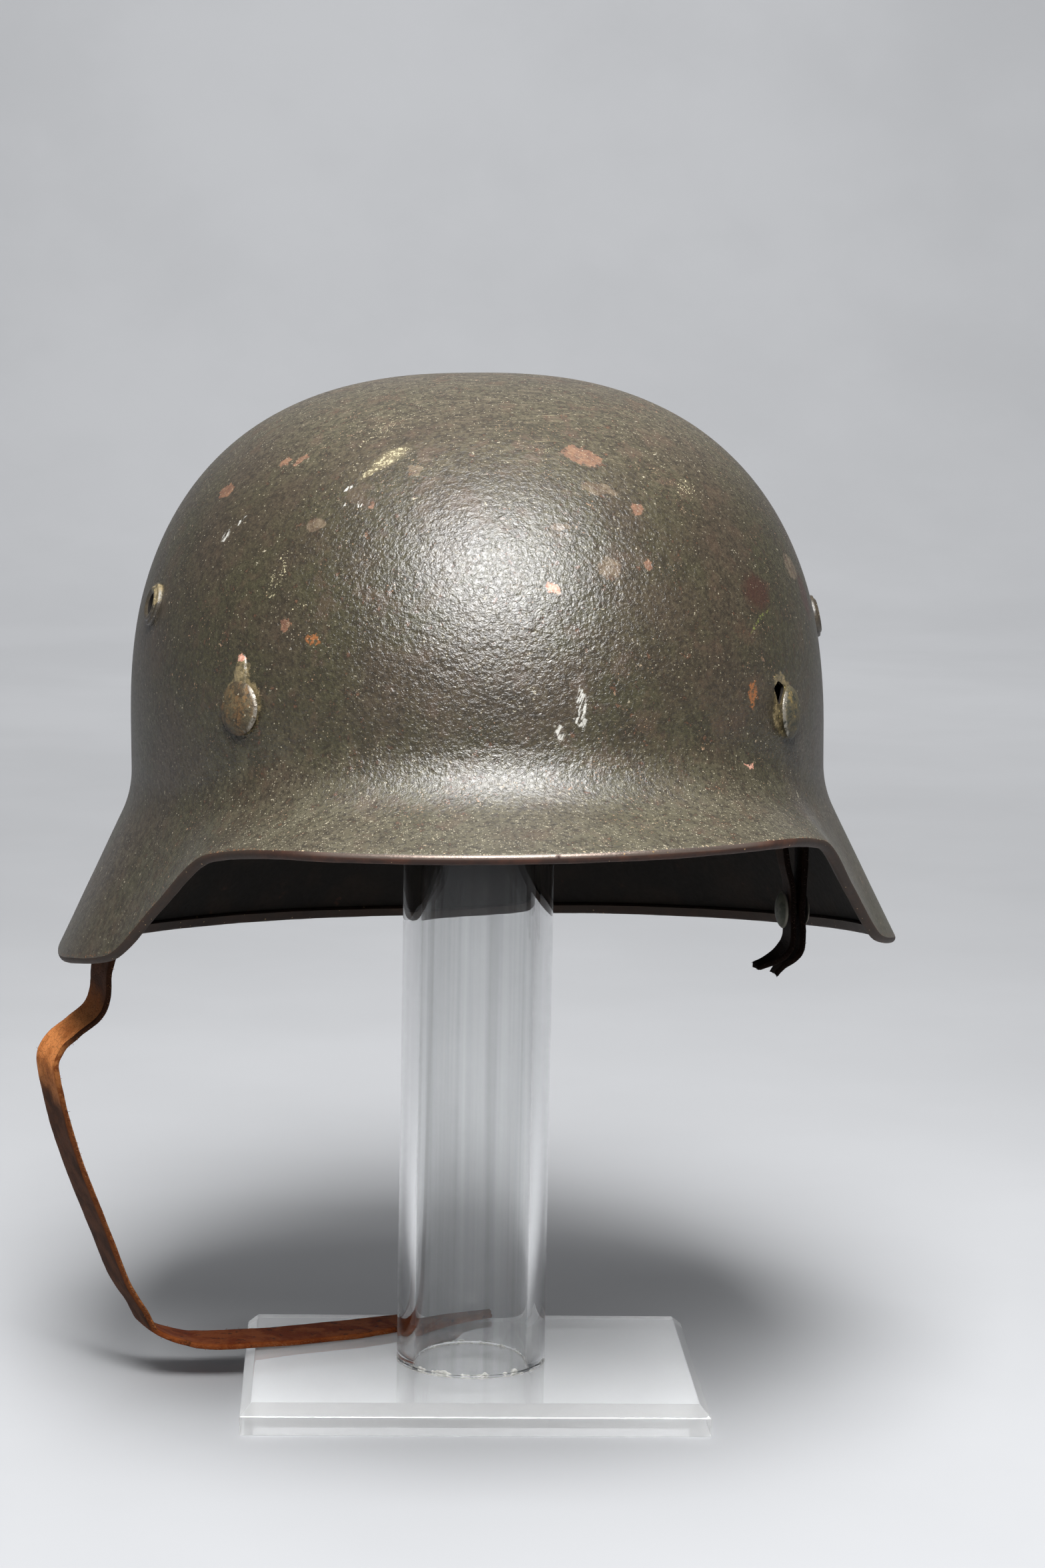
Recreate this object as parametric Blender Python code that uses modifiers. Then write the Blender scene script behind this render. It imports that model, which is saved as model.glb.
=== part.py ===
"""Steel helmet with a rolled rim and two leather chin straps, on a clear stand.

The origin is the middle of the stand's underside, +Z is up and the visor points along -Y.
Helmet pieces are modelled level, round the middle of the dome's widest plane, and hang from an
empty that sets the helmet down on its stand, a little tipped back and to one side.
"""
import math

import bmesh
import bpy
import numpy as np
from mathutils import Matrix, Vector

MM = 0.001
COLLECTION = "stahlhelm_on_stand"
GAP = 0.3 * MM

# Dome: half width and lengths of its widest plane, height, and the powers of its section
HALF_WIDTH = 90.5 * MM
FRONT_LENGTH = 109.5 * MM
REAR_LENGTH = 117.0 * MM
DOME_HEIGHT = 93.4 * MM
PLAN_POWER = 2.05
SIDE_POWER = 2.45
END_POWER = 2.25
WALL = 1.1 * MM

# Skirt and visor, by azimuth from the brow: where the edge is, how far it reaches out past
# the dome, and where and how tightly the wall bends outward (degrees and millimetres)
SKIRT_COLUMNS = ("azimuth", "edge_z", "reach", "bend_z", "bend_radius")
SKIRT_STATIONS = (
    (0.0, -16.7, 27.3, -4.0, 20.0),
    (22.0, -16.7, 26.7, -5.1, 20.0),
    (40.0, -21.0, 15.8, -8.2, 18.0),
    (52.0, -35.9, 13.8, -11.4, 20.0),
    (64.0, -51.5, 16.7, -13.8, 24.0),
    (76.0, -55.0, 19.6, -14.5, 27.0),
    (95.0, -61.5, 22.5, -15.6, 27.0),
    (125.0, -63.4, 24.0, -20.7, 30.0),
    (155.0, -67.3, 23.8, -25.8, 38.0),
    (180.0, -69.3, 28.1, -30.1, 42.0),
)
HEM_RADIUS = 1.35 * MM
HEM_LIP = 2.4 * MM
AZIMUTH_STEPS = 76
DOME_ROWS = 10
BEND_ROWS = 4
FLARE_ROWS = 2
HEM_ROWS = 4

# How the helmet sits on the stand
HELMET_PLACE = Vector((-1.8, -1.9, 179.6)) * MM
HELMET_TIP = math.radians(-1.3)
HELMET_LEAN = math.radians(-1.2)

# Rivets: azimuth and height on the dome
RIVETS = {
    "liner_rivet_right": (-41.0, 13.0 * MM),
    "liner_rivet_left": (44.7, 9.4 * MM),
    "liner_rivet_rear": (180.0, 11.0 * MM),
}
RIVET_RADIUS = 6.6 * MM
RIVET_RISE = 2.0 * MM
RIVET_SHANK = 1.8 * MM
RIVET_LEG = (3.2 * MM, 16.0 * MM, 0.9 * MM)
SLOT_AZIMUTH = 42.3
SLOT_HEIGHT = 15.6 * MM
SLOT_RADIUS = 1.7 * MM

# Vents: raised rings with a hole
VENTS = ((-73.5, 35.4 * MM), (79.0, 29.5 * MM))
VENT_RADIUS = 5.6 * MM
VENT_RISE = 1.5 * MM
VENT_HOLE = 2.7 * MM

# Hoop that the rivets hold, and its two wire loops for the straps
BAND_BOTTOM = 3.0 * MM
BAND_TOP = 19.0 * MM
BAND_WALL = 1.0 * MM
BAND_SPACE = 2.5 * MM
BAND_STEPS = 64
BALE_WIRE = 1.3 * MM
BALE_HALF_WIDTH = 11.5 * MM
BALE_FORWARD = 4.0 * MM
BALE_TOP = 3.6 * MM
BALE_BAR_OUT = 83.4 * MM
BALE_BAR_Z = -19.5 * MM

# Straps
STRAP_WIDTH = 15.0 * MM
STRAP_WALL = 1.8 * MM
LOOP_RADIUS = 2.9 * MM
STUD_RADIUS = 5.0 * MM
STUD_RISE = 1.6 * MM
STUD_SHANK = 1.5 * MM
WASHER_RADIUS = 4.2 * MM
WASHER_WALL = 0.8 * MM

# Stand
PLATE_SIZE = (122.5 * MM, 90.5 * MM, 8.0 * MM)
PLATE_BEVEL = 3.0 * MM
PLATE_TURN = math.radians(-4.8)
TUBE_OUTER = 20.0 * MM
TUBE_INNER = 15.2 * MM
TUBE_TOP = 270.1 * MM
ROUND_STEPS = 48

# Materials: colour, roughness, metallic
PAINTED_STEEL = ((0.075, 0.066, 0.045), 0.5, 0.4)
WORN_STEEL = ((0.16, 0.12, 0.07), 0.5, 0.8)
PLAIN_STEEL = ((0.25, 0.24, 0.22), 0.45, 0.9)
LEATHER = ((0.13, 0.045, 0.018), 0.7, 0.0)
ACRYLIC = ((0.9, 0.92, 0.93), 0.05, 0.0)


def clear_scene():
    for item in list(bpy.data.objects):
        bpy.data.objects.remove(item, do_unlink=True)


def new_collection(name):
    group = bpy.data.collections.new(name)
    bpy.context.scene.collection.children.link(group)
    return group


def material(name, look):
    colour, roughness, metallic = look
    made = bpy.data.materials.new(name)
    made.use_nodes = True
    surface = made.node_tree.nodes["Principled BSDF"]
    surface.inputs["Base Color"].default_value = (*colour, 1.0)
    surface.inputs["Roughness"].default_value = roughness
    surface.inputs["Metallic"].default_value = metallic
    return made


def add_object(name, form, look, group, parent=None):
    """Turn a bmesh into a named object with its own material."""
    bmesh.ops.recalc_face_normals(form, faces=form.faces)
    mesh = bpy.data.meshes.new(name)
    form.to_mesh(mesh)
    form.free()
    piece = bpy.data.objects.new(name, mesh)
    group.objects.link(piece)
    piece.parent = parent
    if look is not None:
        mesh.materials.append(material(name + "_surface", look))
    mesh.shade_smooth()
    return piece


def make_cutter(piece):
    piece.hide_render = True
    piece.display_type = "WIRE"


def boolean(piece, other, operation):
    step = piece.modifiers.new(other.name, "BOOLEAN")
    step.operation = operation
    step.object = other
    step.solver = "EXACT"


# Curves through the skirt's stations

def monotone_slopes(places, values):
    """Slopes of a curve through the points that never swings past them, level at both ends."""
    rises = np.diff(values) / np.diff(places)
    slopes = np.zeros(len(values))
    for i in range(1, len(values) - 1):
        before, after = rises[i - 1], rises[i]
        if before * after > 0.0:
            slopes[i] = 2.0 * before * after / (before + after)
    return slopes


def skirt(column, azimuth):
    """Value of one skirt column at an azimuth, the same on both sides."""
    places = np.array([row[0] for row in SKIRT_STATIONS])
    values = np.array([row[SKIRT_COLUMNS.index(column)] for row in SKIRT_STATIONS]) * MM
    slopes = monotone_slopes(places, values)
    turn = abs((azimuth + 180.0) % 360.0 - 180.0)
    i = min(int(np.searchsorted(places, turn, side="right")) - 1, len(places) - 2)
    span = places[i + 1] - places[i]
    t = (turn - places[i]) / span
    start = (1.0 + 2.0 * t) * (1.0 - t) ** 2 * values[i] + t * (1.0 - t) ** 2 * span * slopes[i]
    end = t * t * (3.0 - 2.0 * t) * values[i + 1] + t * t * (t - 1.0) * span * slopes[i + 1]
    return float(start + end)


# The dome

def plan_radius(azimuth):
    side = math.sin(math.radians(azimuth))
    ahead = math.cos(math.radians(azimuth))
    length = FRONT_LENGTH if ahead > 0.0 else REAR_LENGTH
    total = abs(side / HALF_WIDTH) ** PLAN_POWER + abs(ahead / length) ** PLAN_POWER
    return total ** (-1.0 / PLAN_POWER)


def dome_radius(azimuth, height):
    """Distance from the axis to the dome's outer surface."""
    power = SIDE_POWER + (END_POWER - SIDE_POWER) * math.cos(math.radians(azimuth)) ** 2
    share = max(height, 0.0) / DOME_HEIGHT
    return plan_radius(azimuth) * (1.0 - min(share, 1.0) ** power) ** (1.0 / power)


def outward(azimuth, radius, height):
    turn = math.radians(azimuth)
    return Vector((radius * math.sin(turn), -radius * math.cos(turn), height))


def meridian(azimuth):
    """Outer surface from the first ring below the crown down to the flare's edge."""
    edge_z = skirt("edge_z", azimuth)
    reach = skirt("reach", azimuth)
    bend_z = skirt("bend_z", azimuth)
    length = math.hypot(reach, bend_z - edge_z)
    turn = math.acos((bend_z - edge_z) / length)
    tangent = min(skirt("bend_radius", azimuth) * math.tan(turn / 2.0), 0.9 * length)
    radius = tangent / math.tan(turn / 2.0)
    start_z = bend_z + tangent
    power = SIDE_POWER + (END_POWER - SIDE_POWER) * math.cos(math.radians(azimuth)) ** 2
    points = []
    for i in range(1, DOME_ROWS + 1):
        share = math.cos(0.5 * math.pi * i / DOME_ROWS) ** (2.0 / power) if i < DOME_ROWS else 0.0
        height = start_z + (DOME_HEIGHT - start_z) * share
        points.append(outward(azimuth, dome_radius(azimuth, height), height))
    for i in range(1, BEND_ROWS + 1):
        angle = turn * i / BEND_ROWS
        out = radius * (1.0 - math.cos(angle))
        height = start_z - radius * math.sin(angle)
        points.append(outward(azimuth, dome_radius(azimuth, height) + out, height))
    bend_out = radius * (1.0 - math.cos(turn))
    bend_end = start_z - radius * math.sin(turn)
    for i in range(1, FLARE_ROWS + 1):
        share = i / FLARE_ROWS
        out = bend_out + (reach - bend_out) * share
        height = bend_end + (edge_z - bend_end) * share
        points.append(outward(azimuth, dome_radius(azimuth, height) + out, height))
    return points


def hem_points(edge, along_rim, down_flare):
    """The rim rolled in and up: half a turn, then a short lip against the inner wall."""
    inward = along_rim.cross(down_flare).normalized()
    down = inward.cross(along_rim).normalized()
    centre = edge - down * HEM_RADIUS + inward * HEM_RADIUS
    points = []
    for i in range(HEM_ROWS + 1):
        angle = math.pi * i / HEM_ROWS
        points.append(centre + HEM_RADIUS * (down * math.sin(angle) - inward * math.cos(angle)))
    points.append(points[-1] - down * HEM_LIP)
    return points


def shell_columns():
    """All the outer surface's points, one column for each azimuth."""
    azimuths = [360.0 * i / AZIMUTH_STEPS for i in range(AZIMUTH_STEPS)]
    columns = [meridian(azimuth) for azimuth in azimuths]
    edges = [column[-1] for column in columns]
    for i, column in enumerate(columns):
        along_rim = (edges[(i + 1) % AZIMUTH_STEPS] - edges[i - 1]).normalized()
        down_flare = (column[-1] - column[-2]).normalized()
        column[-1:] = hem_points(edges[i], along_rim, down_flare)
    return columns


def surface_frame(azimuth, height):
    """A place on the dome: +Z points straight out of the surface and +Y up along it."""
    step = 0.5
    here = outward(azimuth, dome_radius(azimuth, height), height)
    beside = outward(azimuth + step, dome_radius(azimuth + step, height), height) - here
    above = height + step * MM
    up = outward(azimuth, dome_radius(azimuth, above), above) - here
    normal = beside.cross(up).normalized()
    right = beside.normalized()
    axes = Matrix((right, normal.cross(right), normal)).transposed().to_4x4()
    return Matrix.Translation(here) @ axes


def turned(name, profile, look, group, parent, place, steps=24):
    """A turned piece: its profile runs down the outer side, top to bottom, round its own Z."""
    form = bmesh.new()
    points = [form.verts.new((radius, 0.0, height)) for radius, height in profile]
    for first, second in zip(points, points[1:]):
        form.edges.new((first, second))
    mesh = bpy.data.meshes.new(name)
    form.to_mesh(mesh)
    form.free()
    piece = bpy.data.objects.new(name, mesh)
    group.objects.link(piece)
    piece.parent = parent
    piece.matrix_local = place
    spin = piece.modifiers.new("Turn", "SCREW")
    spin.steps = steps
    spin.render_steps = steps
    spin.use_merge_vertices = True
    spin.merge_threshold = 0.00001
    if look is not None:
        mesh.materials.append(material(name + "_surface", look))
    return piece


def cap_profile(radius, rise, steps=4):
    """A low domed top, from its middle out to its edge at height nought."""
    bow = (radius * radius + rise * rise) / (2.0 * rise)
    half = math.asin(radius / bow)
    points = []
    for i in range(steps + 1):
        angle = half * i / steps
        points.append((bow * math.sin(angle), bow * math.cos(angle) - bow + rise))
    return points


def vent_boss(index, azimuth, height, parent, cutters):
    top = VENT_RISE
    foot = -0.6 * MM
    profile = (
        (0.0, top * 0.55), (VENT_HOLE, top * 0.7), (VENT_HOLE + 0.8 * MM, top),
        (VENT_RADIUS - 1.1 * MM, top * 0.85), (VENT_RADIUS - 0.3 * MM, top * 0.35),
        (VENT_RADIUS, foot * 0.4), (VENT_RADIUS, foot), (0.0, foot),
    )
    place = surface_frame(azimuth, height)
    boss = turned(f"vent_boss_{index}", profile, None, cutters, parent, place, 20)
    make_cutter(boss)
    return boss


def drill(name, radius, place, parent, cutters, depth=12.0 * MM, steps=16):
    form = bmesh.new()
    bmesh.ops.create_cone(form, cap_ends=True, segments=steps, radius1=radius, radius2=radius,
                          depth=depth)
    bit = add_object(name, form, None, cutters, parent)
    bit.matrix_local = place
    make_cutter(bit)
    return bit


def keyhole(parent, cutters):
    """The worn slot above the left rivet: a round end and a neck that narrows towards it."""
    place = surface_frame(SLOT_AZIMUTH, SLOT_HEIGHT)
    outline = []
    for i in range(13):
        angle = math.radians(-30.0 + 240.0 * i / 12)
        outline.append((SLOT_RADIUS * math.cos(angle), SLOT_RADIUS * math.sin(angle)))
    outline += [(-0.6 * MM, -3.4 * MM), (0.6 * MM, -3.4 * MM)]
    form = bmesh.new()
    face = form.faces.new([form.verts.new((x, y, -4.0 * MM)) for x, y in outline])
    raised = bmesh.ops.extrude_face_region(form, geom=[face])
    moved = [item for item in raised["geom"] if isinstance(item, bmesh.types.BMVert)]
    bmesh.ops.translate(form, verts=moved, vec=(0.0, 0.0, 8.0 * MM))
    cutter = add_object("keyhole", form, None, cutters, parent)
    cutter.matrix_local = place
    make_cutter(cutter)
    return cutter


def build_shell(helmet, group, cutters):
    columns = shell_columns()
    form = bmesh.new()
    crown = form.verts.new((0.0, 0.0, DOME_HEIGHT))
    rings = [[form.verts.new(point) for point in column] for column in columns]
    for i, column in enumerate(rings):
        beside = rings[(i + 1) % AZIMUTH_STEPS]
        form.faces.new((crown, column[0], beside[0]))
        for j in range(len(column) - 1):
            form.faces.new((column[j], column[j + 1], beside[j + 1], beside[j]))
    shell = add_object("helmet_shell", form, PAINTED_STEEL, group, helmet)
    plate = shell.modifiers.new("Steel wall", "SOLIDIFY")
    plate.thickness = WALL
    plate.offset = -1.0
    plate.use_even_offset = True
    for index, (azimuth, height) in enumerate(VENTS):
        boolean(shell, vent_boss(index, azimuth, height, helmet, cutters), "UNION")
        place = surface_frame(azimuth, height)
        boolean(shell, drill(f"vent_hole_{index}", VENT_HOLE, place, helmet, cutters), "DIFFERENCE")
    for name, (azimuth, height) in RIVETS.items():
        place = surface_frame(azimuth, height)
        hole = drill(name + "_hole", RIVET_SHANK + GAP, place, helmet, cutters)
        boolean(shell, hole, "DIFFERENCE")
    boolean(shell, keyhole(helmet, cutters), "DIFFERENCE")
    return shell


def build_band(helmet, group, cutters):
    """The hoop inside the dome with its strap loops, one plain piece that the rivets hold."""
    form = bmesh.new()
    inset = WALL + BAND_SPACE
    loops = []
    for i in range(BAND_STEPS):
        azimuth = 360.0 * i / BAND_STEPS
        radius = dome_radius(azimuth, BAND_TOP) - inset
        loops.append([form.verts.new(outward(azimuth, radius, height))
                      for height in (BAND_TOP, BAND_BOTTOM)])
    for i, (top, bottom) in enumerate(loops):
        next_top, next_bottom = loops[(i + 1) % BAND_STEPS]
        form.faces.new((top, bottom, next_bottom, next_top))
    band = add_object("liner_hoop", form, PLAIN_STEEL, group, helmet)
    sheet = band.modifiers.new("Steel strip", "SOLIDIFY")
    sheet.thickness = BAND_WALL
    sheet.offset = -1.0
    for side, name in ((-1.0, "right"), (1.0, "left")):
        boolean(band, bale(side, "bale_" + name, helmet, cutters), "UNION")
    for name, (azimuth, height) in RIVETS.items():
        place = surface_frame(azimuth, height)
        place.translation -= place.to_3x3().col[2] * (inset + 0.5 * BAND_WALL)
        hole = drill(name + "_hoop_hole", RIVET_SHANK + GAP, place, helmet, cutters, 8.0 * MM)
        boolean(band, hole, "DIFFERENCE")
    return band


def bale_top_out():
    """How far out the hoop's middle runs where a bale hangs from it."""
    return dome_radius(90.0, BAND_TOP) - WALL - BAND_SPACE - 0.5 * BAND_WALL


def bale(side, name, helmet, cutters):
    """A bent wire below the hoop, whose bottom bar carries a strap."""
    top_out = bale_top_out()
    corners = (
        (top_out, BALE_HALF_WIDTH, BALE_TOP),
        (BALE_BAR_OUT + 0.4 * MM, BALE_HALF_WIDTH, BALE_BAR_Z + 2.5 * MM),
        (BALE_BAR_OUT, BALE_HALF_WIDTH - 2.5 * MM, BALE_BAR_Z),
        (BALE_BAR_OUT, 2.5 * MM - BALE_HALF_WIDTH, BALE_BAR_Z),
        (BALE_BAR_OUT + 0.4 * MM, -BALE_HALF_WIDTH, BALE_BAR_Z + 2.5 * MM),
        (top_out, -BALE_HALF_WIDTH, BALE_TOP),
    )
    curve = bpy.data.curves.new(name, "CURVE")
    curve.dimensions = "3D"
    curve.bevel_depth = BALE_WIRE
    curve.bevel_resolution = 2
    curve.use_fill_caps = True
    line = curve.splines.new("POLY")
    line.points.add(len(corners) - 1)
    for point, (out, along, height) in zip(line.points, corners):
        point.co = (side * out, along - BALE_FORWARD, height, 1.0)
    wire = bpy.data.objects.new(name + "_wire", curve)
    cutters.objects.link(wire)
    bpy.context.view_layer.update()
    mesh = bpy.data.meshes.new_from_object(wire.evaluated_get(bpy.context.evaluated_depsgraph_get()))
    bpy.data.objects.remove(wire, do_unlink=True)
    form = bmesh.new()
    form.from_mesh(mesh)
    bmesh.ops.remove_doubles(form, verts=form.verts, dist=0.00001)
    solid = add_object(name, form, None, cutters, helmet)
    make_cutter(solid)
    return solid


def build_rivets(helmet, group, cutters):
    inner = WALL + BAND_SPACE + BAND_WALL + 2.0 * GAP
    for name, (azimuth, height) in RIVETS.items():
        place = surface_frame(azimuth, height)
        foot = -(inner + rivet_slack(azimuth, height))
        head = [(radius, rise + GAP + 0.4 * MM) for radius, rise in cap_profile(RIVET_RADIUS, RIVET_RISE)]
        profile = head + [
            (RIVET_RADIUS, GAP), (RIVET_SHANK, GAP), (RIVET_SHANK, foot - 0.4 * MM), (0.0, foot - 0.4 * MM),
        ]
        rivet = turned(name, profile, WORN_STEEL, group, helmet, place)
        form = bmesh.new()
        bmesh.ops.create_cube(form, size=1.0, matrix=Matrix.Diagonal((*RIVET_LEG, 1.0)))
        legs = add_object(name + "_legs", form, None, cutters, helmet)
        legs.matrix_local = place @ Matrix.Translation((0.0, 0.0, foot - 0.5 * RIVET_LEG[2]))
        make_cutter(legs)
        boolean(rivet, legs, "UNION")


def rivet_slack(azimuth, height):
    """Extra length where the wall leans away from the upright hoop."""
    lean = dome_radius(azimuth, height) - dome_radius(azimuth, BAND_TOP)
    return lean + 0.5 * MM


# Straps

def smooth_route(points, spacing):
    """Points every few millimetres along a smooth curve through a route's own points."""
    route = [Vector(point) * MM for point in points]
    ends = [2.0 * route[0] - route[1]] + route + [2.0 * route[-1] - route[-2]]
    path = []
    for before, start, end, after in zip(ends, ends[1:], ends[2:], ends[3:]):
        pieces = max(1, round((end - start).length / spacing))
        for i in range(pieces):
            t = i / pieces
            path.append(0.5 * (2.0 * start + (end - before) * t
                               + (2.0 * before - 5.0 * start + 4.0 * end - after) * t * t
                               + (3.0 * start - before - 3.0 * end + after) * t ** 3))
    path.append(route[-1])
    return path


def half_turn(centre, radius, steps=8):
    """The strap's way over a bale's bar, from the wearer's side of it to the wall's side."""
    points = []
    for i in range(steps + 1):
        angle = math.pi * i / steps
        points.append(centre + Vector((-math.cos(angle), 0.0, math.sin(angle))) * radius)
    return points


def ribbon(name, path, turns, group):
    """A flat strap along a path; turns gives how far its width is turned from +Y, in degrees."""
    form = bmesh.new()
    places = np.linspace(0.0, 1.0, len(turns))
    rows = []
    for i, point in enumerate(path):
        along = (path[min(i + 1, len(path) - 1)] - path[max(i - 1, 0)]).normalized()
        turn = math.radians(float(np.interp(i / (len(path) - 1), places, turns)))
        across = Vector((math.sin(turn), math.cos(turn), 0.0))
        across = (across - along * across.dot(along)).normalized() * 0.5 * STRAP_WIDTH
        rows.append((form.verts.new(point - across), form.verts.new(point + across)))
    for first, second in zip(rows, rows[1:]):
        form.faces.new((first[0], first[1], second[1], second[0]))
    strap = add_object(name, form, LEATHER, group)
    leather = strap.modifiers.new("Leather", "SOLIDIFY")
    leather.thickness = STRAP_WALL
    leather.offset = 0.0
    leather.use_even_offset = True
    return strap


# Routes below the bales, in millimetres: tail side first, then the side that goes on
SHORT_TAIL = ((74.0, -5.0, 115.0), (77.6, -5.0, 116.8), (81.6, -5.0, 119.2), (84.3, -5.0, 122.6),
              (84.9, -5.0, 127.0), (84.6, -5.0, 132.0), (84.2, -5.2, 138.0), (82.4, -5.5, 144.0),
              (80.6, -5.8, 151.0), (79.6, -6.1, 157.5))
SHORT_END = ((85.2, -6.1, 157.5), (86.6, -5.8, 151.0), (87.3, -5.5, 145.0), (87.2, -5.2, 138.0),
             (87.0, -5.0, 132.0), (87.5, -5.0, 126.5), (87.2, -5.0, 121.4), (84.8, -5.0, 118.0),
             (82.2, -5.0, 115.6), (79.8, -5.0, 112.8))
SHORT_TURNS = (-10.0, -10.0, -6.0, 0.0, 0.0, -6.0, -10.0, -10.0)
LONG_TAIL = ((-94.4, -3.2, 118.0), (-93.0, -3.6, 124.0), (-90.4, -4.2, 133.0), (-86.6, -5.0, 143.0),
             (-83.4, -5.8, 151.0), (-82.2, -6.2, 155.0))
LONG_WAY = ((-88.0, -6.2, 154.0), (-90.0, -5.6, 147.0), (-92.9, -4.2, 138.0), (-95.4, -2.8, 130.0),
            (-98.0, -1.4, 121.5), (-99.7, -0.5, 115.0), (-100.2, 0.5, 108.6), (-102.2, 1.0, 104.0),
            (-107.0, 1.6, 99.6), (-111.3, 2.0, 95.6), (-113.6, 2.5, 91.0), (-113.3, 3.0, 86.4),
            (-112.2, 4.0, 81.1), (-109.5, 5.5, 70.0), (-105.9, 7.0, 58.7), (-102.3, 8.5, 49.1),
            (-98.7, 10.0, 39.5), (-94.2, 12.0, 27.9), (-89.8, 13.5, 20.4), (-86.6, 14.8, 14.4),
            (-82.0, 15.5, 12.0), (-76.0, 16.0, 10.2), (-69.0, 16.2, 9.6), (-60.0, 16.6, 9.8),
            (-50.0, 19.2, 9.4), (-39.0, 22.4, 9.4), (-28.0, 25.4, 9.4), (-16.4, 29.0, 9.4),
            (-6.8, 31.8, 9.4), (3.0, 34.6, 9.4), (13.9, 36.5, 9.4))
LONG_TURNS = (0.0, 0.0, 0.0, -6.0, -14.0, -17.0, -18.0, -18.0, -16.0, -16.0, -16.0, -16.0, -16.0)


def bar_place(side):
    """World place of the middle of a bale's bottom bar."""
    bar = Vector((side * BALE_BAR_OUT, -BALE_FORWARD, BALE_BAR_Z))
    return helmet_matrix() @ bar


def helmet_matrix():
    turn = Matrix.Rotation(HELMET_LEAN, 4, "Y") @ Matrix.Rotation(HELMET_TIP, 4, "X")
    return Matrix.Translation(HELMET_PLACE) @ turn


def strap_path(side, tail, onward):
    """Up one side, over the bar and down the other; the wall's side of the bar is outermost."""
    loop = half_turn(bar_place(side), LOOP_RADIUS)
    if side < 0.0:
        loop = loop[::-1]
    spacing = 4.5 * MM
    return smooth_route(tail, spacing) + loop + smooth_route(onward, spacing)


def build_straps(group, cutters):
    short = ribbon("chin_strap_short", strap_path(1.0, SHORT_TAIL, SHORT_END), SHORT_TURNS, group)
    long = ribbon("chin_strap_long", strap_path(-1.0, LONG_TAIL, LONG_WAY), LONG_TURNS, group)
    # Each stud goes through both layers of its strap; the button faces the wearer
    studs = (
        ("strap_stud_left", short, Vector((85.8, -5.0, 131.4)) * MM, Vector((-0.987, -0.16, 0.0)), 2.9 * MM),
        ("strap_stud_right", long, Vector((-92.3, -3.7, 133.4)) * MM, Vector((0.95, 0.0, -0.30)), 5.2 * MM),
    )
    for name, strap, middle, facing, apart in studs:
        place = Matrix.Translation(middle) @ facing.to_track_quat("Z", "Y").to_matrix().to_4x4()
        build_stud(name, place, apart, group)
        hole = drill(name + "_hole", STUD_SHANK + GAP, place, None, cutters, 12.0 * MM)
        boolean(strap, hole, "DIFFERENCE")


def build_stud(name, place, apart, group):
    """A button, its shank and its washer, clamped over two layers of leather."""
    reach = 0.5 * (apart + STRAP_WALL) + GAP + 0.15 * MM
    button = [(radius, rise + reach + 0.5 * MM) for radius, rise in cap_profile(STUD_RADIUS, STUD_RISE)]
    profile = button + [
        (STUD_RADIUS, reach), (STUD_SHANK, reach), (STUD_SHANK, -reach), (WASHER_RADIUS, -reach),
        (WASHER_RADIUS, -reach - WASHER_WALL), (0.0, -reach - WASHER_WALL),
    ]
    return turned(name, profile, WORN_STEEL, group, None, place, 20)


# Stand

def build_stand(group):
    form = bmesh.new()
    bmesh.ops.create_cube(form, size=1.0, matrix=Matrix.Diagonal((*PLATE_SIZE, 1.0)))
    top = [edge for edge in form.edges if all(vert.co.z > 0.0 for vert in edge.verts)]
    bmesh.ops.bevel(form, geom=top, offset=PLATE_BEVEL, segments=1, affect="EDGES")
    plate = add_object("stand_base", form, ACRYLIC, group)
    plate.location.z = 0.5 * PLATE_SIZE[2]
    plate.rotation_euler.z = PLATE_TURN
    plate.data.shade_flat()
    foot = PLATE_SIZE[2] + GAP
    profile = ((TUBE_OUTER, TUBE_TOP), (TUBE_OUTER, foot), (TUBE_INNER, foot), (TUBE_INNER, TUBE_TOP),
               (TUBE_OUTER, TUBE_TOP))
    turned("stand_tube", profile, ACRYLIC, group, None, Matrix.Identity(4), ROUND_STEPS)


def build():
    clear_scene()
    group = new_collection(COLLECTION)
    cutters = new_collection("cutters")
    helmet = bpy.data.objects.new("helmet_seat", None)
    group.objects.link(helmet)
    helmet.matrix_world = helmet_matrix()
    build_shell(helmet, group, cutters)
    build_band(helmet, group, cutters)
    build_rivets(helmet, group, cutters)
    build_straps(group, cutters)
    build_stand(group)


build()
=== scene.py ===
"""Looks of a worn steel helmet with leather chin straps, on a clear acrylic stand.

Sizes are millimetres until a mesh is made. The helmet's own shape is worked out level, round the
middle of the dome's widest plane, and then set down on the stand a little tipped and leaning.
"""
import math

import bmesh
import bpy
import numpy as np
from bpy.props import FloatProperty, FloatVectorProperty, IntProperty, PointerProperty
from mathutils import Matrix, Vector, noise


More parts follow.
